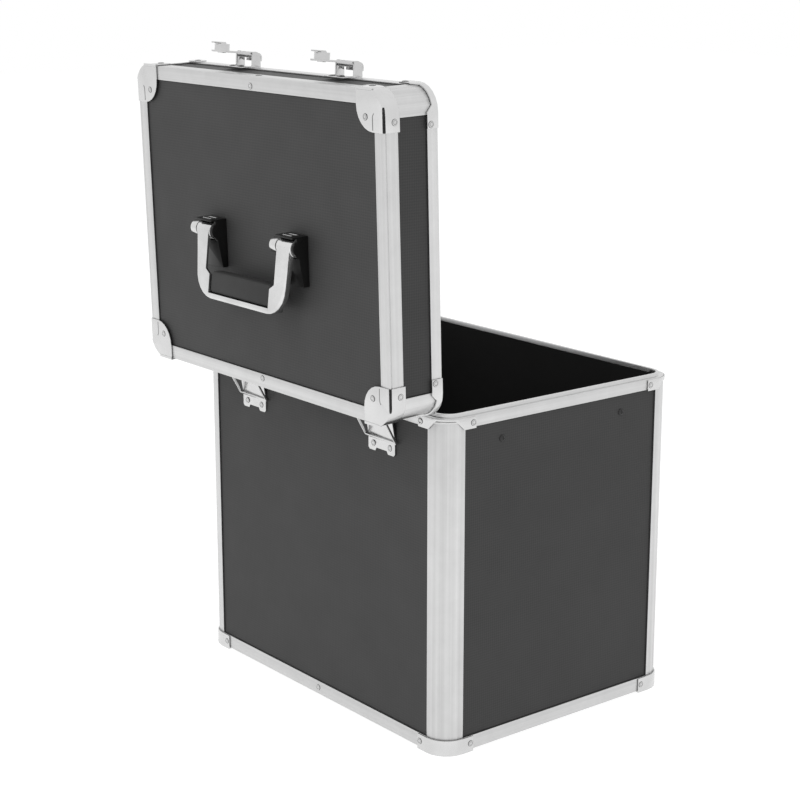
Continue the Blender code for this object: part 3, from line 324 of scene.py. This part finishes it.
def split_across(shape, at, way):
    """Split every face that crosses a plane, and take nothing off."""
    bmesh.ops.bisect_plane(shape, geom=shape.verts[:] + shape.edges[:] + shape.faces[:],
                           plane_co=at, plane_no=way)


def split_rail(shape, place):
    """Split a bent rail's faces across on its straight lengths, so that no face runs right round."""
    for way, half in ((Vector((1, 0, 0)), HALF_WIDTH), (Vector((0, 1, 0)), HALF_DEPTH)):
        end = half - SPLIT_FROM_END
        for at in (-end, -SPLIT_FROM_MIDDLE, SPLIT_FROM_MIDDLE, end):
            split_across(shape, place @ (way * at), place.to_3x3() @ way)


for body, names in (("body", ("base_rail", "body_rim_rail")), ("lid", ("lid_rim_rail", "lid_top_rail"))):
    for name in names:
        shape = plain_copy(name)
        take_off_rivets(shape, body)
        split_rail(shape, OPEN_LID if body == "lid" else Matrix.Identity(4))
        add_grain(dressed(name, shape, aluminium, METAL_ROUNDING), body, False)
    for corner in CORNERS:
        name = body + "_post_" + corner
        add_grain(dressed(name, plain_copy(name), aluminium, METAL_ROUNDING), body, True)


# Pressed corners
# Sheet steel corners cover the bends of the rails, pressed and plated: three-sided caps on the lid, slit
# along the side edges and folded shut along the others, feet below, and bands with two wings at both rims.
PLATED_GREYS = (0.61, 0.68)
CORNER_REACH = 33 * MM
PRESSED_LINE_INSET = 12.3 * MM
PRESSED_LINE_RADIUS = 0.3 * MM
PRESSED_LINE_END = 1.6 * MM
PRESSED_LINE_HOOK = ((0, 9 * MM), (0.5 * MM, 7.4 * MM), (1.6 * MM, 6 * MM))
SLIT_START = 13.5 * MM
SLIT_SHADE_PROUD = 0.28 * MM
SLIT_SHADE_INNER = 0.62 * MM
SLIT_SHADE_END_GAP = 0.1 * MM
FOLD_OVERLAP = 0.5 * MM
SLIT_WIDTH = 0.7 * MM
SHEET_PROUD = 1.5 * MM
SHEET_GAP = 0.3 * MM
BEAD_DROP = 3.5 * MM
RIM_BEAD_RADIUS = 1.1 * MM
SHADE_LINE_DROP = 2.4 * MM
SHADE_LINE_RADIUS = 0.32 * MM
ARC_STEPS = 12


def plated_steel(name, greys, roughness):
    """Bright plating with faint clouds, handling marks and the ripples of the press."""
    material, shader = new_material(name, metallic=1.0)
    tree = material.node_tree
    place = object_place(tree)
    clouds = noise(tree, place, 38, 3, 0.55)
    marks = noise(tree, place, 420, 3, 0.7)
    grey = work_out(tree, "MULTIPLY", spread(tree, clouds, *greys, 0.3, 0.7),
                    spread(tree, marks, 0.975, 1.025))
    tree.links.new(grey, shader.inputs["Base Color"])
    rough = work_out(tree, "ADD", spread(tree, clouds, roughness - 0.04, roughness + 0.05),
                     spread(tree, marks, -0.03, 0.05, 0.3, 0.8))
    tree.links.new(rough, shader.inputs["Roughness"])
    add_bump(tree, shader, clouds, 0.12, 0.25 * MM)
    return material


def soft_black(name, greys, roughness):
    """Black rubber or plastic with a fine uneven skin."""
    material, shader = new_material(name)
    tree = material.node_tree
    place = object_place(tree)
    skin = noise(tree, place, 900, 3, 0.6)
    tree.links.new(spread(tree, skin, *greys), shader.inputs["Base Color"])
    rough = spread(tree, noise(tree, place, 70, 3), roughness - 0.06, roughness + 0.06)
    tree.links.new(rough, shader.inputs["Roughness"])
    add_bump(tree, shader, skin, 0.15, 0.05 * MM)
    return material


def from_tube(name, points, radius):
    """A plain mesh of a thin round bar along a line of points."""
    line = bpy.data.curves.new(name, "CURVE")
    line.dimensions = "3D"
    line.bevel_depth = radius
    line.bevel_resolution = 2
    line.use_fill_caps = True
    spline = line.splines.new("POLY")
    spline.points.add(len(points) - 1)
    for target, point in zip(spline.points, points):
        target.co = (*point, 1)
    piece = bpy.data.objects.new(name, line)
    bpy.context.scene.collection.objects.link(piece)
    bpy.context.view_layer.update()
    mesh = bpy.data.meshes.new_from_object(piece.evaluated_get(bpy.context.evaluated_depsgraph_get()))
    bpy.data.objects.remove(piece)
    return mesh


def add_mesh(shape, mesh, matrix):
    """Put a mesh in place beside what a bmesh already holds."""
    mesh.transform(matrix)
    shape.from_mesh(mesh)
    bpy.data.meshes.remove(mesh)


def corner_frame(corner, height):
    """From a corner's own axes, a and b along its two sides, to the closed case."""
    side_x = -1 if "left" in corner else 1
    side_y = -1 if "front" in corner else 1
    turn = Matrix(((-side_x, 0, 0, side_x * HALF_WIDTH), (0, -side_y, 0, side_y * HALF_DEPTH),
                   (0, 0, 1, height), (0, 0, 0, 1)))
    return turn


def block(low, high):
    """A plain mesh block between two corners."""
    shape = bmesh.new()
    bmesh.ops.create_cube(shape, size=1)
    size = Vector(high) - Vector(low)
    bmesh.ops.scale(shape, verts=shape.verts, vec=size)
    bmesh.ops.translate(shape, verts=shape.verts, vec=Vector(low) + size / 2)
    mesh = bpy.data.meshes.new("block")
    shape.to_mesh(mesh)
    shape.free()
    return mesh


def ride_new(name, shape, material, body):
    """A new piece from a finished bmesh, which rides on a body."""
    bmesh.ops.recalc_face_normals(shape, faces=shape.faces)
    mesh = bpy.data.meshes.new(name)
    shape.to_mesh(mesh)
    shape.free()
    mesh.materials.append(material)
    mesh.shade_smooth()
    mesh.set_sharp_from_angle(angle=math.radians(35))
    piece = bpy.data.objects.new(name, mesh)
    bpy.context.scene.collection.objects.link(piece)
    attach(piece, body)
    return piece


plating = plated_steel("plated_corners", PLATED_GREYS, 0.2)
# This black stands for shade: it paints the slits of the caps, the gaps at the rim bands and the angles at
# the board edges.
painted_shade_black = soft_black("painted_shade_black", (0.008, 0.014), 0.7)
for kind, body in (("base_corner_", "body"), ("body_rim_corner_", "body"), ("lid_rim_corner_", "lid"),
                   ("lid_top_corner_", "lid")):
    for corner in CORNERS:
        shape = plain_copy(kind + corner)
        take_off_rivets(shape, body)
        dressed(kind + corner, shape, plating, METAL_ROUNDING)

lid_face = max((CLOSED_LID @ corner.co).z for corner in frame["nodes"]["lid_top_rail"].data.vertices)
lid_face -= RIVET_HEIGHT
cap_face = max((CLOSED_LID @ corner.co).z
               for corner in frame["nodes"]["lid_top_corner_front_left"].data.vertices) - RIVET_HEIGHT
pressed = bmesh.new()
folds = bmesh.new()
slit_shades = bmesh.new()
for corner in CORNERS:
    place = OPEN_LID @ corner_frame(corner, 0)
    inset = PRESSED_LINE_INSET
    line = [(inset, CORNER_REACH - PRESSED_LINE_END, cap_face)]
    line += [(inset - aside, inset + along, cap_face) for aside, along in PRESSED_LINE_HOOK]
    add_mesh(pressed, from_tube("pressed_line", line, PRESSED_LINE_RADIUS), place)
    # A black block fills each slit: painted shade in the gap between the cap's folds.
    add_mesh(slit_shades, block((-SLIT_SHADE_PROUD, SLIT_START, lid_face - SLIT_SHADE_INNER),
                          (SLIT_SHADE_INNER, CORNER_REACH - SLIT_SHADE_END_GAP, lid_face + SLIT_SHADE_PROUD)), place)
    add_mesh(folds, block((SLIT_START - FOLD_OVERLAP, -SHEET_PROUD, lid_face - SLIT_WIDTH),
                          (CORNER_REACH, -SHEET_GAP, cap_face)), place)
    add_mesh(folds, block((SLIT_START - FOLD_OVERLAP, -SHEET_GAP, lid_face + SHEET_GAP),
                          (CORNER_REACH, SLIT_WIDTH, cap_face)), place)
# The pressed lines get a dark plating: painted shade along the crease of the press.
shaded_plating = plated_steel("press_lines_painted_shade", (0.16, 0.28), 0.4)
ride_new("cap_pressed_lines", pressed, shaded_plating, "lid")
ride_new("cap_folds", folds, plating, "lid")
ride_new("cap_slit_painted_shade", slit_shades, painted_shade_black, "lid")


def corner_line(height, out):
    """Points round a corner's bend at a height, so far out from the post."""
    radius = CORNER_RADIUS + out
    turns = [math.pi + math.pi / 2 * step / ARC_STEPS for step in range(ARC_STEPS + 1)]
    return [(CORNER_RADIUS + radius * math.cos(turn), CORNER_RADIUS + radius * math.sin(turn), height)
            for turn in turns]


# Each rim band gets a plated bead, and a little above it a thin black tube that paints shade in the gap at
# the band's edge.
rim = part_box("body_rim_corner_front_left")[1].z + SHEET_GAP
beads = bmesh.new()
rim_shade_lines = bmesh.new()
for corner in CORNERS:
    place = corner_frame(corner, rim)
    add_mesh(beads, from_tube("rim_bead", corner_line(-BEAD_DROP, 0), RIM_BEAD_RADIUS), place)
    add_mesh(rim_shade_lines, from_tube("rim_shade_line", corner_line(-SHADE_LINE_DROP, SHADE_LINE_RADIUS), SHADE_LINE_RADIUS), place)
ride_new("rim_corner_beads", beads, plating, "body")
ride_new("rim_corner_shade_lines", rim_shade_lines, painted_shade_black, "body")


# Board edges
# A thin black tube runs in the angle between each board and the rails and posts round it: painted shade where
# the board meets its frame. It is laid as one closed line for each board, on the board's outer face.
POST_REACH = 22.2 * MM
FACE_RAIL_WIDTH = 12.1 * MM
BODY_RIM_RAIL_HEIGHT = 9.4 * MM
LID_RIM_RAIL_HEIGHT = 10.3 * MM
LID_TOP_RAIL_HEIGHT = 13.6 * MM
EDGE_SHADE_RADIUS = 0.5 * MM
EDGE_SHADE_INSET_SHARE = 0.8


def frame_line(across, up, out):
    """A closed line of four corners, from its ends across and up, as (across, up, out) points."""
    return [(across[0], up[0], out), (across[1], up[0], out), (across[1], up[1], out),
            (across[0], up[1], out), (across[0], up[0], out)]


def board_edge_shade(shape, across, up, out, axes, place):
    """Lay a thin black tube of painted shade just inside a board's visible edges."""
    inside = EDGE_SHADE_RADIUS * EDGE_SHADE_INSET_SHARE
    line = frame_line((across[0] + inside, across[1] - inside), (up[0] + inside, up[1] - inside), out)
    add_mesh(shape, from_tube("bead", [axes @ Vector(point) for point in line], EDGE_SHADE_RADIUS), place)


still = Matrix.Identity(4)
body_edge_shades = bmesh.new()
lid_edge_shades = bmesh.new()
base_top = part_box("body_post_back_left")[0].z - SHEET_GAP
rim_low = rim - BODY_RIM_RAIL_HEIGHT
closed_lid_low = rim + SHEET_GAP + LID_RIM_RAIL_HEIGHT
closed_lid_high = lid_face - LID_TOP_RAIL_HEIGHT
for side in (-1, 1):
    end_on = Matrix(((1, 0, 0), (0, 0, side), (0, 1, 0)))
    side_on = Matrix(((0, 0, side), (1, 0, 0), (0, 1, 0)))
    wide, deep = HALF_WIDTH - POST_REACH, HALF_DEPTH - POST_REACH
    out_y, out_x = HALF_DEPTH - SHEET_PROUD, HALF_WIDTH - SHEET_PROUD
    board_edge_shade(body_edge_shades, (-wide, wide), (base_top, rim_low), out_y, end_on, still)
    board_edge_shade(body_edge_shades, (-deep, deep), (base_top, rim_low), out_x, side_on, still)
    board_edge_shade(lid_edge_shades, (-wide, wide), (closed_lid_low, closed_lid_high), out_y, end_on, OPEN_LID)
    board_edge_shade(lid_edge_shades, (-deep, deep), (closed_lid_low, closed_lid_high), out_x, side_on, OPEN_LID)
face_wide, face_deep = HALF_WIDTH - FACE_RAIL_WIDTH, HALF_DEPTH - FACE_RAIL_WIDTH
board_edge_shade(lid_edge_shades, (-face_wide, face_wide), (-face_deep, face_deep), lid_face - SHEET_PROUD,
           Matrix.Identity(3), OPEN_LID)
ride_new("body_board_edge_shades", body_edge_shades, painted_shade_black, "body")
ride_new("lid_board_edge_shades", lid_edge_shades, painted_shade_black, "lid")


# File rails
# Two folded aluminium strips hang inside the side walls for the hooks of hanging folders.
# Each is held off its wall by two spacers, and by two black screws whose heads show outside.
SCREW_HEAD_RADIUS = 3.0 * MM
SCREW_HEAD_HEIGHT = 1.5 * MM
SCREW_SUNK = 0.4 * MM
SCREW_SPACING = 140 * MM


def tree_with_sizes(name, sizes):
    """An empty Geometry Nodes tree with a points input, named sizes and a material."""
    tree = bpy.data.node_groups.new(name, "GeometryNodeTree")
    tree.interface.new_socket("Geometry", in_out="INPUT", socket_type="NodeSocketGeometry")
    for size in sizes:
        tree.interface.new_socket(size, in_out="INPUT", socket_type="NodeSocketFloat")
    tree.interface.new_socket("Material", in_out="INPUT", socket_type="NodeSocketMaterial")
    tree.interface.new_socket("Geometry", in_out="OUTPUT", socket_type="NodeSocketGeometry")
    return tree


def stand_on_seats(tree, source, head):
    """Stand one head on each seat, square to the sheet, and close the tree."""
    facing = add_node(tree, "GeometryNodeInputNamedAttribute", {"Name": "facing"}, data_type="FLOAT_VECTOR")
    turn = add_node(tree, "FunctionNodeAlignRotationToVector", {"Vector": facing.outputs[0]}, axis="Z")
    stood = add_node(tree, "GeometryNodeInstanceOnPoints",
                     {"Points": source.outputs["Geometry"], "Instance": head, "Rotation": turn.outputs[0]})
    real = add_node(tree, "GeometryNodeRealizeInstances", {0: stood.outputs[0]})
    smooth = add_node(tree, "GeometryNodeSetShadeSmooth", {0: real.outputs[0]})
    painted = add_node(tree, "GeometryNodeSetMaterial",
                       {0: smooth.outputs[0], "Material": source.outputs["Material"]})
    add_node(tree, "NodeGroupOutput", {"Geometry": painted.outputs[0]})


def grow_on_seats(name, seats, tree, values, body):
    """One mesh of all the heads of a body, grown by a tree on its seats."""
    mesh = bpy.data.meshes.new(name)
    mesh.from_pydata([seat for seat, facing in seats], [], [])
    facing = mesh.attributes.new("facing", "FLOAT_VECTOR", "POINT")
    facing.data.foreach_set("vector", np.array([list(way) for seat, way in seats], np.float32).ravel())
    piece = bpy.data.objects.new(name, mesh)
    bpy.context.scene.collection.objects.link(piece)
    grown = piece.modifiers.new("Grown", "NODES")
    grown.node_group = tree
    for socket in tree.interface.items_tree:
        if socket.in_out == "INPUT" and socket.name in values:
            grown[socket.identifier] = values[socket.name]
    applied(piece)
    piece.data.set_sharp_from_angle(angle=math.radians(50))
    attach(piece, body)
    return piece


def screw_tree():
    """A low round head with a cross cut in it."""
    tree = tree_with_sizes("cross_screws", ("Radius", "Height"))
    source = add_node(tree, "NodeGroupInput")
    radius, height = source.outputs["Radius"], source.outputs["Height"]
    ball = add_node(tree, "GeometryNodeMeshUVSphere", {"Segments": 32, "Rings": 16, "Radius": radius})
    squeeze = add_node(tree, "ShaderNodeCombineXYZ",
                       {"X": 1.0, "Y": 1.0, "Z": work_out(tree, "DIVIDE", height, radius)})
    dome = add_node(tree, "GeometryNodeTransform", {"Geometry": ball.outputs[0], "Scale": squeeze.outputs[0]})
    long_side = work_out(tree, "MULTIPLY", radius, 1.2)
    short_side = work_out(tree, "MULTIPLY", radius, 0.26)
    lift = add_node(tree, "ShaderNodeCombineXYZ", {"Z": work_out(tree, "MULTIPLY", height, 1.1)})
    arms = []
    for sides in ((long_side, short_side), (short_side, long_side)):
        size = add_node(tree, "ShaderNodeCombineXYZ", {"X": sides[0], "Y": sides[1], "Z": height})
        arm = add_node(tree, "GeometryNodeMeshCube", {"Size": size.outputs[0]})
        arms.append(add_node(tree, "GeometryNodeTransform",
                             {"Geometry": arm.outputs[0], "Translation": lift.outputs[0]}))
    head = dome.outputs[0]
    for arm in arms:
        recess = add_node(tree, "GeometryNodeMeshBoolean", operation="DIFFERENCE")
        tree.links.new(head, recess.inputs[0])
        tree.links.new(arm.outputs[0], recess.inputs[1])
        head = recess.outputs[0]
    stand_on_seats(tree, source, head)
    return tree


rail_low, rail_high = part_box("file_rail_left")
wall_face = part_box("right_panel")[1].x
for side, sign in (("left", -1), ("right", 1)):
    name = "file_rail_" + side
    shape = plain_copy(name)
    bmesh.ops.bisect_plane(shape, geom=shape.verts[:] + shape.edges[:] + shape.faces[:],
                           plane_co=(sign * (wall_face - SCREW_SUNK), 0, 0), plane_no=(sign, 0, 0),
                           clear_outer=True)
    bmesh.ops.holes_fill(shape, edges=[edge for edge in shape.edges if edge.is_boundary])
    add_grain(dressed(name, shape, aluminium, 0.2 * MM), "body", False)
blackened_steel = soft_black("blackened_screws", (0.006, 0.012), 0.36)
screw_rise = (rail_low.z + rail_high.z) / 2
screw_seats = [(Vector((side * wall_face, y, screw_rise)), Vector((side, 0, 0)))
               for side in (-1, 1) for y in (-SCREW_SPACING / 2, SCREW_SPACING / 2)]
grow_on_seats("file_rail_screws", screw_seats, screw_tree(),
              {"Radius": SCREW_HEAD_RADIUS, "Height": SCREW_HEAD_HEIGHT, "Material": blackened_steel},
              "body")


# Stop hinges
# Each of the two hinges is a pair of pressed leaves on a steel pin. The body's leaf has a sloping stay
# outside its web, and the lid leans on it when it stands open. Two rivets hold each foot.
hinge_plating = plated_steel("plated_hinges", (0.60, 0.68), 0.2)
for side in ("left", "right"):
    for name, body in (("hinge_body_leaf_" + side, "body"), ("hinge_lid_leaf_" + side, "lid")):
        shape = plain_copy(name)
        take_off_rivets(shape, body)
        dressed(name, shape, hinge_plating, 0.22 * MM)
    dressed("hinge_pin_" + side, plain_copy("hinge_pin_" + side), hinge_plating, 0.3 * MM)


# Key latches
# A base with two ears is riveted to the lid. Its lever turns on a pin between the ears and carries the
# lock: a round housing whose slotted core turns a cam under the lips of the catch on the body.
latch_plating = plated_steel("plated_latches", (0.52, 0.62), 0.2)
for side in ("left", "right"):
    for name, body in (("latch_base_" + side, "lid"), ("latch_catch_" + side, "body")):
        shape = plain_copy(name)
        take_off_rivets(shape, body)
        low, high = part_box(name)
        split_across(shape, (low + high) / 2, (1, 0, 0))
        dressed(name, shape, latch_plating, 0.25 * MM)
    for name in ("latch_lever_" + side, "lock_barrel_" + side):
        dressed(name, plain_copy(name), latch_plating, 0.22 * MM)


# Rivets
# Every corner, hinge and latch is held by semi-tubular rivets, whose round heads are dimpled in the middle.
# They are set in one go after the pieces are laid on the rails, so they are all alike.
RIVET_HEAD_RADIUS = 2.85 * MM
RIVET_HEAD_HEIGHT = 0.95 * MM
RIVET_DIMPLE_SHARE = 0.7
RIVET_DIMPLE_START_SHARE = 0.3
RIVET_DIMPLE_END_SHARE = 0.66
RIVET_RIM_SHADE_SHARE = 0.9


def rivet_tree():
    """A flattened ball, half sunk in the sheet, pressed in at its middle."""
    tree = tree_with_sizes("rivets", ("Radius", "Height", "Dimple"))
    source = add_node(tree, "NodeGroupInput")
    radius, height = source.outputs["Radius"], source.outputs["Height"]
    ball = add_node(tree, "GeometryNodeMeshUVSphere", {"Segments": 28, "Rings": 20, "Radius": radius})
    squeeze = add_node(tree, "ShaderNodeCombineXYZ",
                       {"X": 1.0, "Y": 1.0, "Z": work_out(tree, "DIVIDE", height, radius)})
    dome = add_node(tree, "GeometryNodeTransform", {"Geometry": ball.outputs[0], "Scale": squeeze.outputs[0]})
    at = add_node(tree, "GeometryNodeInputPosition")
    axes = add_node(tree, "ShaderNodeSeparateXYZ", {"Vector": at.outputs[0]})
    flat = add_node(tree, "ShaderNodeCombineXYZ", {"X": axes.outputs["X"], "Y": axes.outputs["Y"]})
    out = add_node(tree, "ShaderNodeVectorMath", {0: flat.outputs[0]}, operation="LENGTH").outputs["Value"]
    share = work_out(tree, "DIVIDE", out, radius)
    press = add_node(tree, "ShaderNodeMapRange",
                     {"Value": share, "From Min": RIVET_DIMPLE_START_SHARE,
                      "From Max": RIVET_DIMPLE_END_SHARE, "To Min": 1.0, "To Max": 0.0},
                     interpolation_type="SMOOTHSTEP").outputs[0]
    upper = work_out(tree, "GREATER_THAN", axes.outputs["Z"], 0.0)
    depth = work_out(tree, "MULTIPLY", work_out(tree, "MULTIPLY", press, upper), height)
    drop = work_out(tree, "MULTIPLY", work_out(tree, "MULTIPLY", depth, source.outputs["Dimple"]), -1.0)
    move = add_node(tree, "ShaderNodeCombineXYZ", {"Z": drop})
    noted = add_node(tree, "GeometryNodeStoreNamedAttribute",
                     {"Geometry": dome.outputs[0], "Name": "head_share", "Value": share})
    head = add_node(tree, "GeometryNodeSetPosition",
                    {"Geometry": noted.outputs[0], "Offset": move.outputs[0]})
    stand_on_seats(tree, source, head.outputs[0])
    return tree


def rivet_plating():
    """The corners' plating, darkened round the rim and in the bend of the dimple: painted shade."""
    material = plated_steel("plated_rivets", (0.56, 0.66), 0.24)
    tree = material.node_tree
    shader = tree.nodes["Principled BSDF"]
    grey = shader.inputs["Base Color"].links[0].from_socket
    share = add_node(tree, "ShaderNodeAttribute", attribute_name="head_share").outputs["Fac"]
    # Painted shade: the grey drops round the head's rim, where it meets the sheet, and in the bend of the
    # dimple.
    rim = spread(tree, share, 1.0, 0.16, RIVET_RIM_SHADE_SHARE - 0.08, RIVET_RIM_SHADE_SHARE + 0.06)
    bend = work_out(tree, "ABSOLUTE", work_out(tree, "SUBTRACT", share, RIVET_DIMPLE_END_SHARE - 0.1))
    bend = spread(tree, bend, 0.45, 1.0, 0.02, 0.16)
    shaded_grey = work_out(tree, "MULTIPLY", work_out(tree, "MULTIPLY", grey, rim), bend)
    tree.links.new(shaded_grey, shader.inputs["Base Color"])
    return material


rivet_steel = rivet_plating()
rivets = rivet_tree()
for body in ("body", "lid"):
    grow_on_seats(body + "_rivets", rivet_seats[body], rivets,
                  {"Radius": RIVET_HEAD_RADIUS, "Height": RIVET_HEAD_HEIGHT, "Dimple": RIVET_DIMPLE_SHARE,
                   "Material": rivet_steel}, body)


# Handle mounts
# Two forks of glossy black plastic stand on the lid's face. The handle's arms turn between their cheeks, and
# each has a roof over the arm, a bright plated frame on the roof that paints in its highlight lines, and a
# foot that tapers down to the board.
ROOF_HIGHLIGHT_SIZE = (12 * MM, 6.5 * MM)
ROOF_HIGHLIGHT_RADIUS = 0.42 * MM
ROOF_HIGHLIGHT_SHIFT = 1 * MM

mount_plastic = soft_black("mount_plastic", (0.006, 0.010), 0.34)
mount_plastic.node_tree.nodes["Principled BSDF"].inputs["Specular IOR Level"].default_value = 0.22
roof_highlights = bmesh.new()
for side in ("left", "right"):
    name = "handle_mount_" + side
    dressed(name, plain_copy(name), mount_plastic, 0.4 * MM, segments=3)
    low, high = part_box(name)
    # The frame is a painted highlight: bright plating laid where the roof's glossy top shows lines of light.
    middle = Vector(((low.x + high.x) / 2, (low.y + high.y) / 2 + ROOF_HIGHLIGHT_SHIFT, high.z))
    half_long, half_short = ROOF_HIGHLIGHT_SIZE[0] / 2, ROOF_HIGHLIGHT_SIZE[1] / 2
    line = frame_line((-half_long, half_long), (-half_short, half_short), 0)
    add_mesh(roof_highlights, from_tube("roof_frame", line, ROOF_HIGHLIGHT_RADIUS), Matrix.Translation(middle))
ride_new("mount_roof_highlights", roof_highlights, plating, "lid")


# Folding handle
# A chromed bow of pressed steel turns in the mounts: two broad arms, a bar below and a tray between them.
# A block of matt grey rubber fills the tray, and the fingers close round it.
BOW_ROUNDING = 2.2 * MM
BOW_SPLIT = 20 * MM
FACING_OUT = 0.9
TURNED_FROM_FRONT = 0.5
LEVEL_TOP = 0.3


def outer_edges(shape):
    """The edges along the outside of the bow's front face, without those across the tops of its arms."""
    front = max(shape.faces, key=lambda face: face.calc_area() * (face.normal.y > FACING_OUT))
    middle = sum((corner.co for corner in front.verts), Vector()) / len(front.verts)
    found = []
    for edge in front.edges:
        outwards = (edge.verts[0].co + edge.verts[1].co) / 2 - middle
        for side in edge.link_faces:
            turned = side is not front and side.normal.dot(front.normal) < TURNED_FROM_FRONT
            top = abs(side.normal.x) < LEVEL_TOP and side.normal.z > 0
            if turned and side.normal.dot(outwards) > 0 and not top:
                found.append(edge)
    return found


handle_plating = plated_steel("plated_handle", (0.60, 0.72), 0.18)
bow = plain_copy("handle_bow")
bmesh.ops.bevel(bow, geom=outer_edges(bow), offset=BOW_ROUNDING, segments=6, profile=0.5, affect="EDGES",
                clamp_overlap=False)
for across in (-BOW_SPLIT, 0, BOW_SPLIT):
    split_across(bow, (across, 0, 0), (1, 0, 0))
low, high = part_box("handle_bow")
split_across(bow, (low + high) / 2, (0, 0, 1))
dressed("handle_bow", bow, handle_plating, 0.3 * MM, segments=2)
grip_rubber = soft_black("grip_rubber", (0.024, 0.032), 0.62)
grip_rubber.node_tree.nodes["Principled BSDF"].inputs["Specular IOR Level"].default_value = 0.35
dressed("handle_grip", plain_copy("handle_grip"), grip_rubber, 0.6 * MM, segments=3)


# Floor and backdrop
# The box stands on a plain white floor that runs into a white backdrop.
FLOOR_SIZE = 14.0
FLOOR_GLOW = 0.87


def where_seen(tree):
    """1 for the camera, for reflections and through glass, and 0 for all other light."""
    rays = add_node(tree, "ShaderNodeLightPath")
    seen = work_out(tree, "MAXIMUM", rays.outputs["Is Camera Ray"], rays.outputs["Is Glossy Ray"])
    return work_out(tree, "MAXIMUM", seen, rays.outputs["Is Transmission Ray"])


floor_mesh = bpy.data.meshes.new("floor")
floor_shape = bmesh.new()
bmesh.ops.create_grid(floor_shape, x_segments=1, y_segments=1, size=FLOOR_SIZE / 2)
floor_shape.to_mesh(floor_mesh)
floor_shape.free()
floor = bpy.data.objects.new("floor", floor_mesh)
bpy.context.scene.collection.objects.link(floor)
floor_white, floor_shader = new_material("white_floor", 0.9)
floor_shader.inputs["Base Color"].default_value = (0.86, 0.86, 0.86, 1)
floor_tree = floor_white.node_tree
floor_glow = add_node(floor_tree, "ShaderNodeEmission", {"Color": (1, 1, 1, 1), "Strength": FLOOR_GLOW})
floor_shade = add_node(floor_tree, "ShaderNodeBsdfDiffuse", {"Color": (0.24, 0.24, 0.24, 1)})
floor_white_seen = add_node(floor_tree, "ShaderNodeAddShader",
                            {0: floor_glow.outputs[0], 1: floor_shade.outputs[0]})
floor_mix = add_node(floor_tree, "ShaderNodeMixShader",
                     {0: where_seen(floor_tree), 1: floor_shader.outputs[0], 2: floor_white_seen.outputs[0]})
floor_tree.links.new(floor_mix.outputs[0], floor_tree.nodes["Material Output"].inputs["Surface"])
floor_mesh.materials.append(floor_white)

world = bpy.data.worlds.new("white_room")
bpy.context.scene.world = world
world.use_nodes = True
world_tree = world.node_tree
room = world_tree.nodes["Background"]
room.inputs["Color"].default_value = (0.62, 0.62, 0.62, 1)
room.inputs["Strength"].default_value = 1.0
seen_room = add_node(world_tree, "ShaderNodeBackground", {"Color": (1, 1, 1, 1), "Strength": 1.0})
room_mix = add_node(world_tree, "ShaderNodeMixShader",
                    {0: where_seen(world_tree), 1: room.outputs[0], 2: seen_room.outputs[0]})
world_tree.links.new(room_mix.outputs[0], world_tree.nodes["World Output"].inputs["Surface"])


# Lamps and camera
# Broad soft lamps stand to the left of the camera, above and to the right, as round a product table.
LAMPS = (("key_lamp", (-0.2, 2.6, 1.9), 1.6, 26), ("side_lamp", (-2.6, -0.4, 1.6), 1.4, 7),
         ("top_lamp", (0.2, 0.2, 2.8), 1.8, 24), ("front_lamp", (1.4, -2.4, 1.6), 1.6, 18))
LOOK_AT = Vector((0, 0, 0.28))
CAMERA_AT = Vector((-1.3164, 1.0874, 0.6912))
CAMERA_HEADING = math.radians(231.42)
CAMERA_DROP = math.radians(14.15)
LENS = 84.665
SENSOR = 36.0

for name, at, size, power in LAMPS:
    lamp = bpy.data.lights.new(name, "AREA")
    lamp.shape = "SQUARE"
    lamp.size = size
    lamp.energy = power
    lamp_object = bpy.data.objects.new(name, lamp)
    lamp_object.location = at
    lamp_object.visible_glossy = False
    lamp_object.rotation_euler = (LOOK_AT - Vector(at)).to_track_quat("-Z", "Y").to_euler()
    bpy.context.scene.collection.objects.link(lamp_object)

camera = bpy.data.cameras.new("camera")
camera.lens = LENS
camera.sensor_width = SENSOR
camera.clip_start = 0.01
camera_object = bpy.data.objects.new("camera", camera)
camera_object.location = CAMERA_AT
camera_object.rotation_euler = (math.pi / 2 - CAMERA_DROP, 0, CAMERA_HEADING)
bpy.context.scene.collection.objects.link(camera_object)
bpy.context.scene.camera = camera_object
bpy.context.scene.view_settings.view_transform = "Standard"
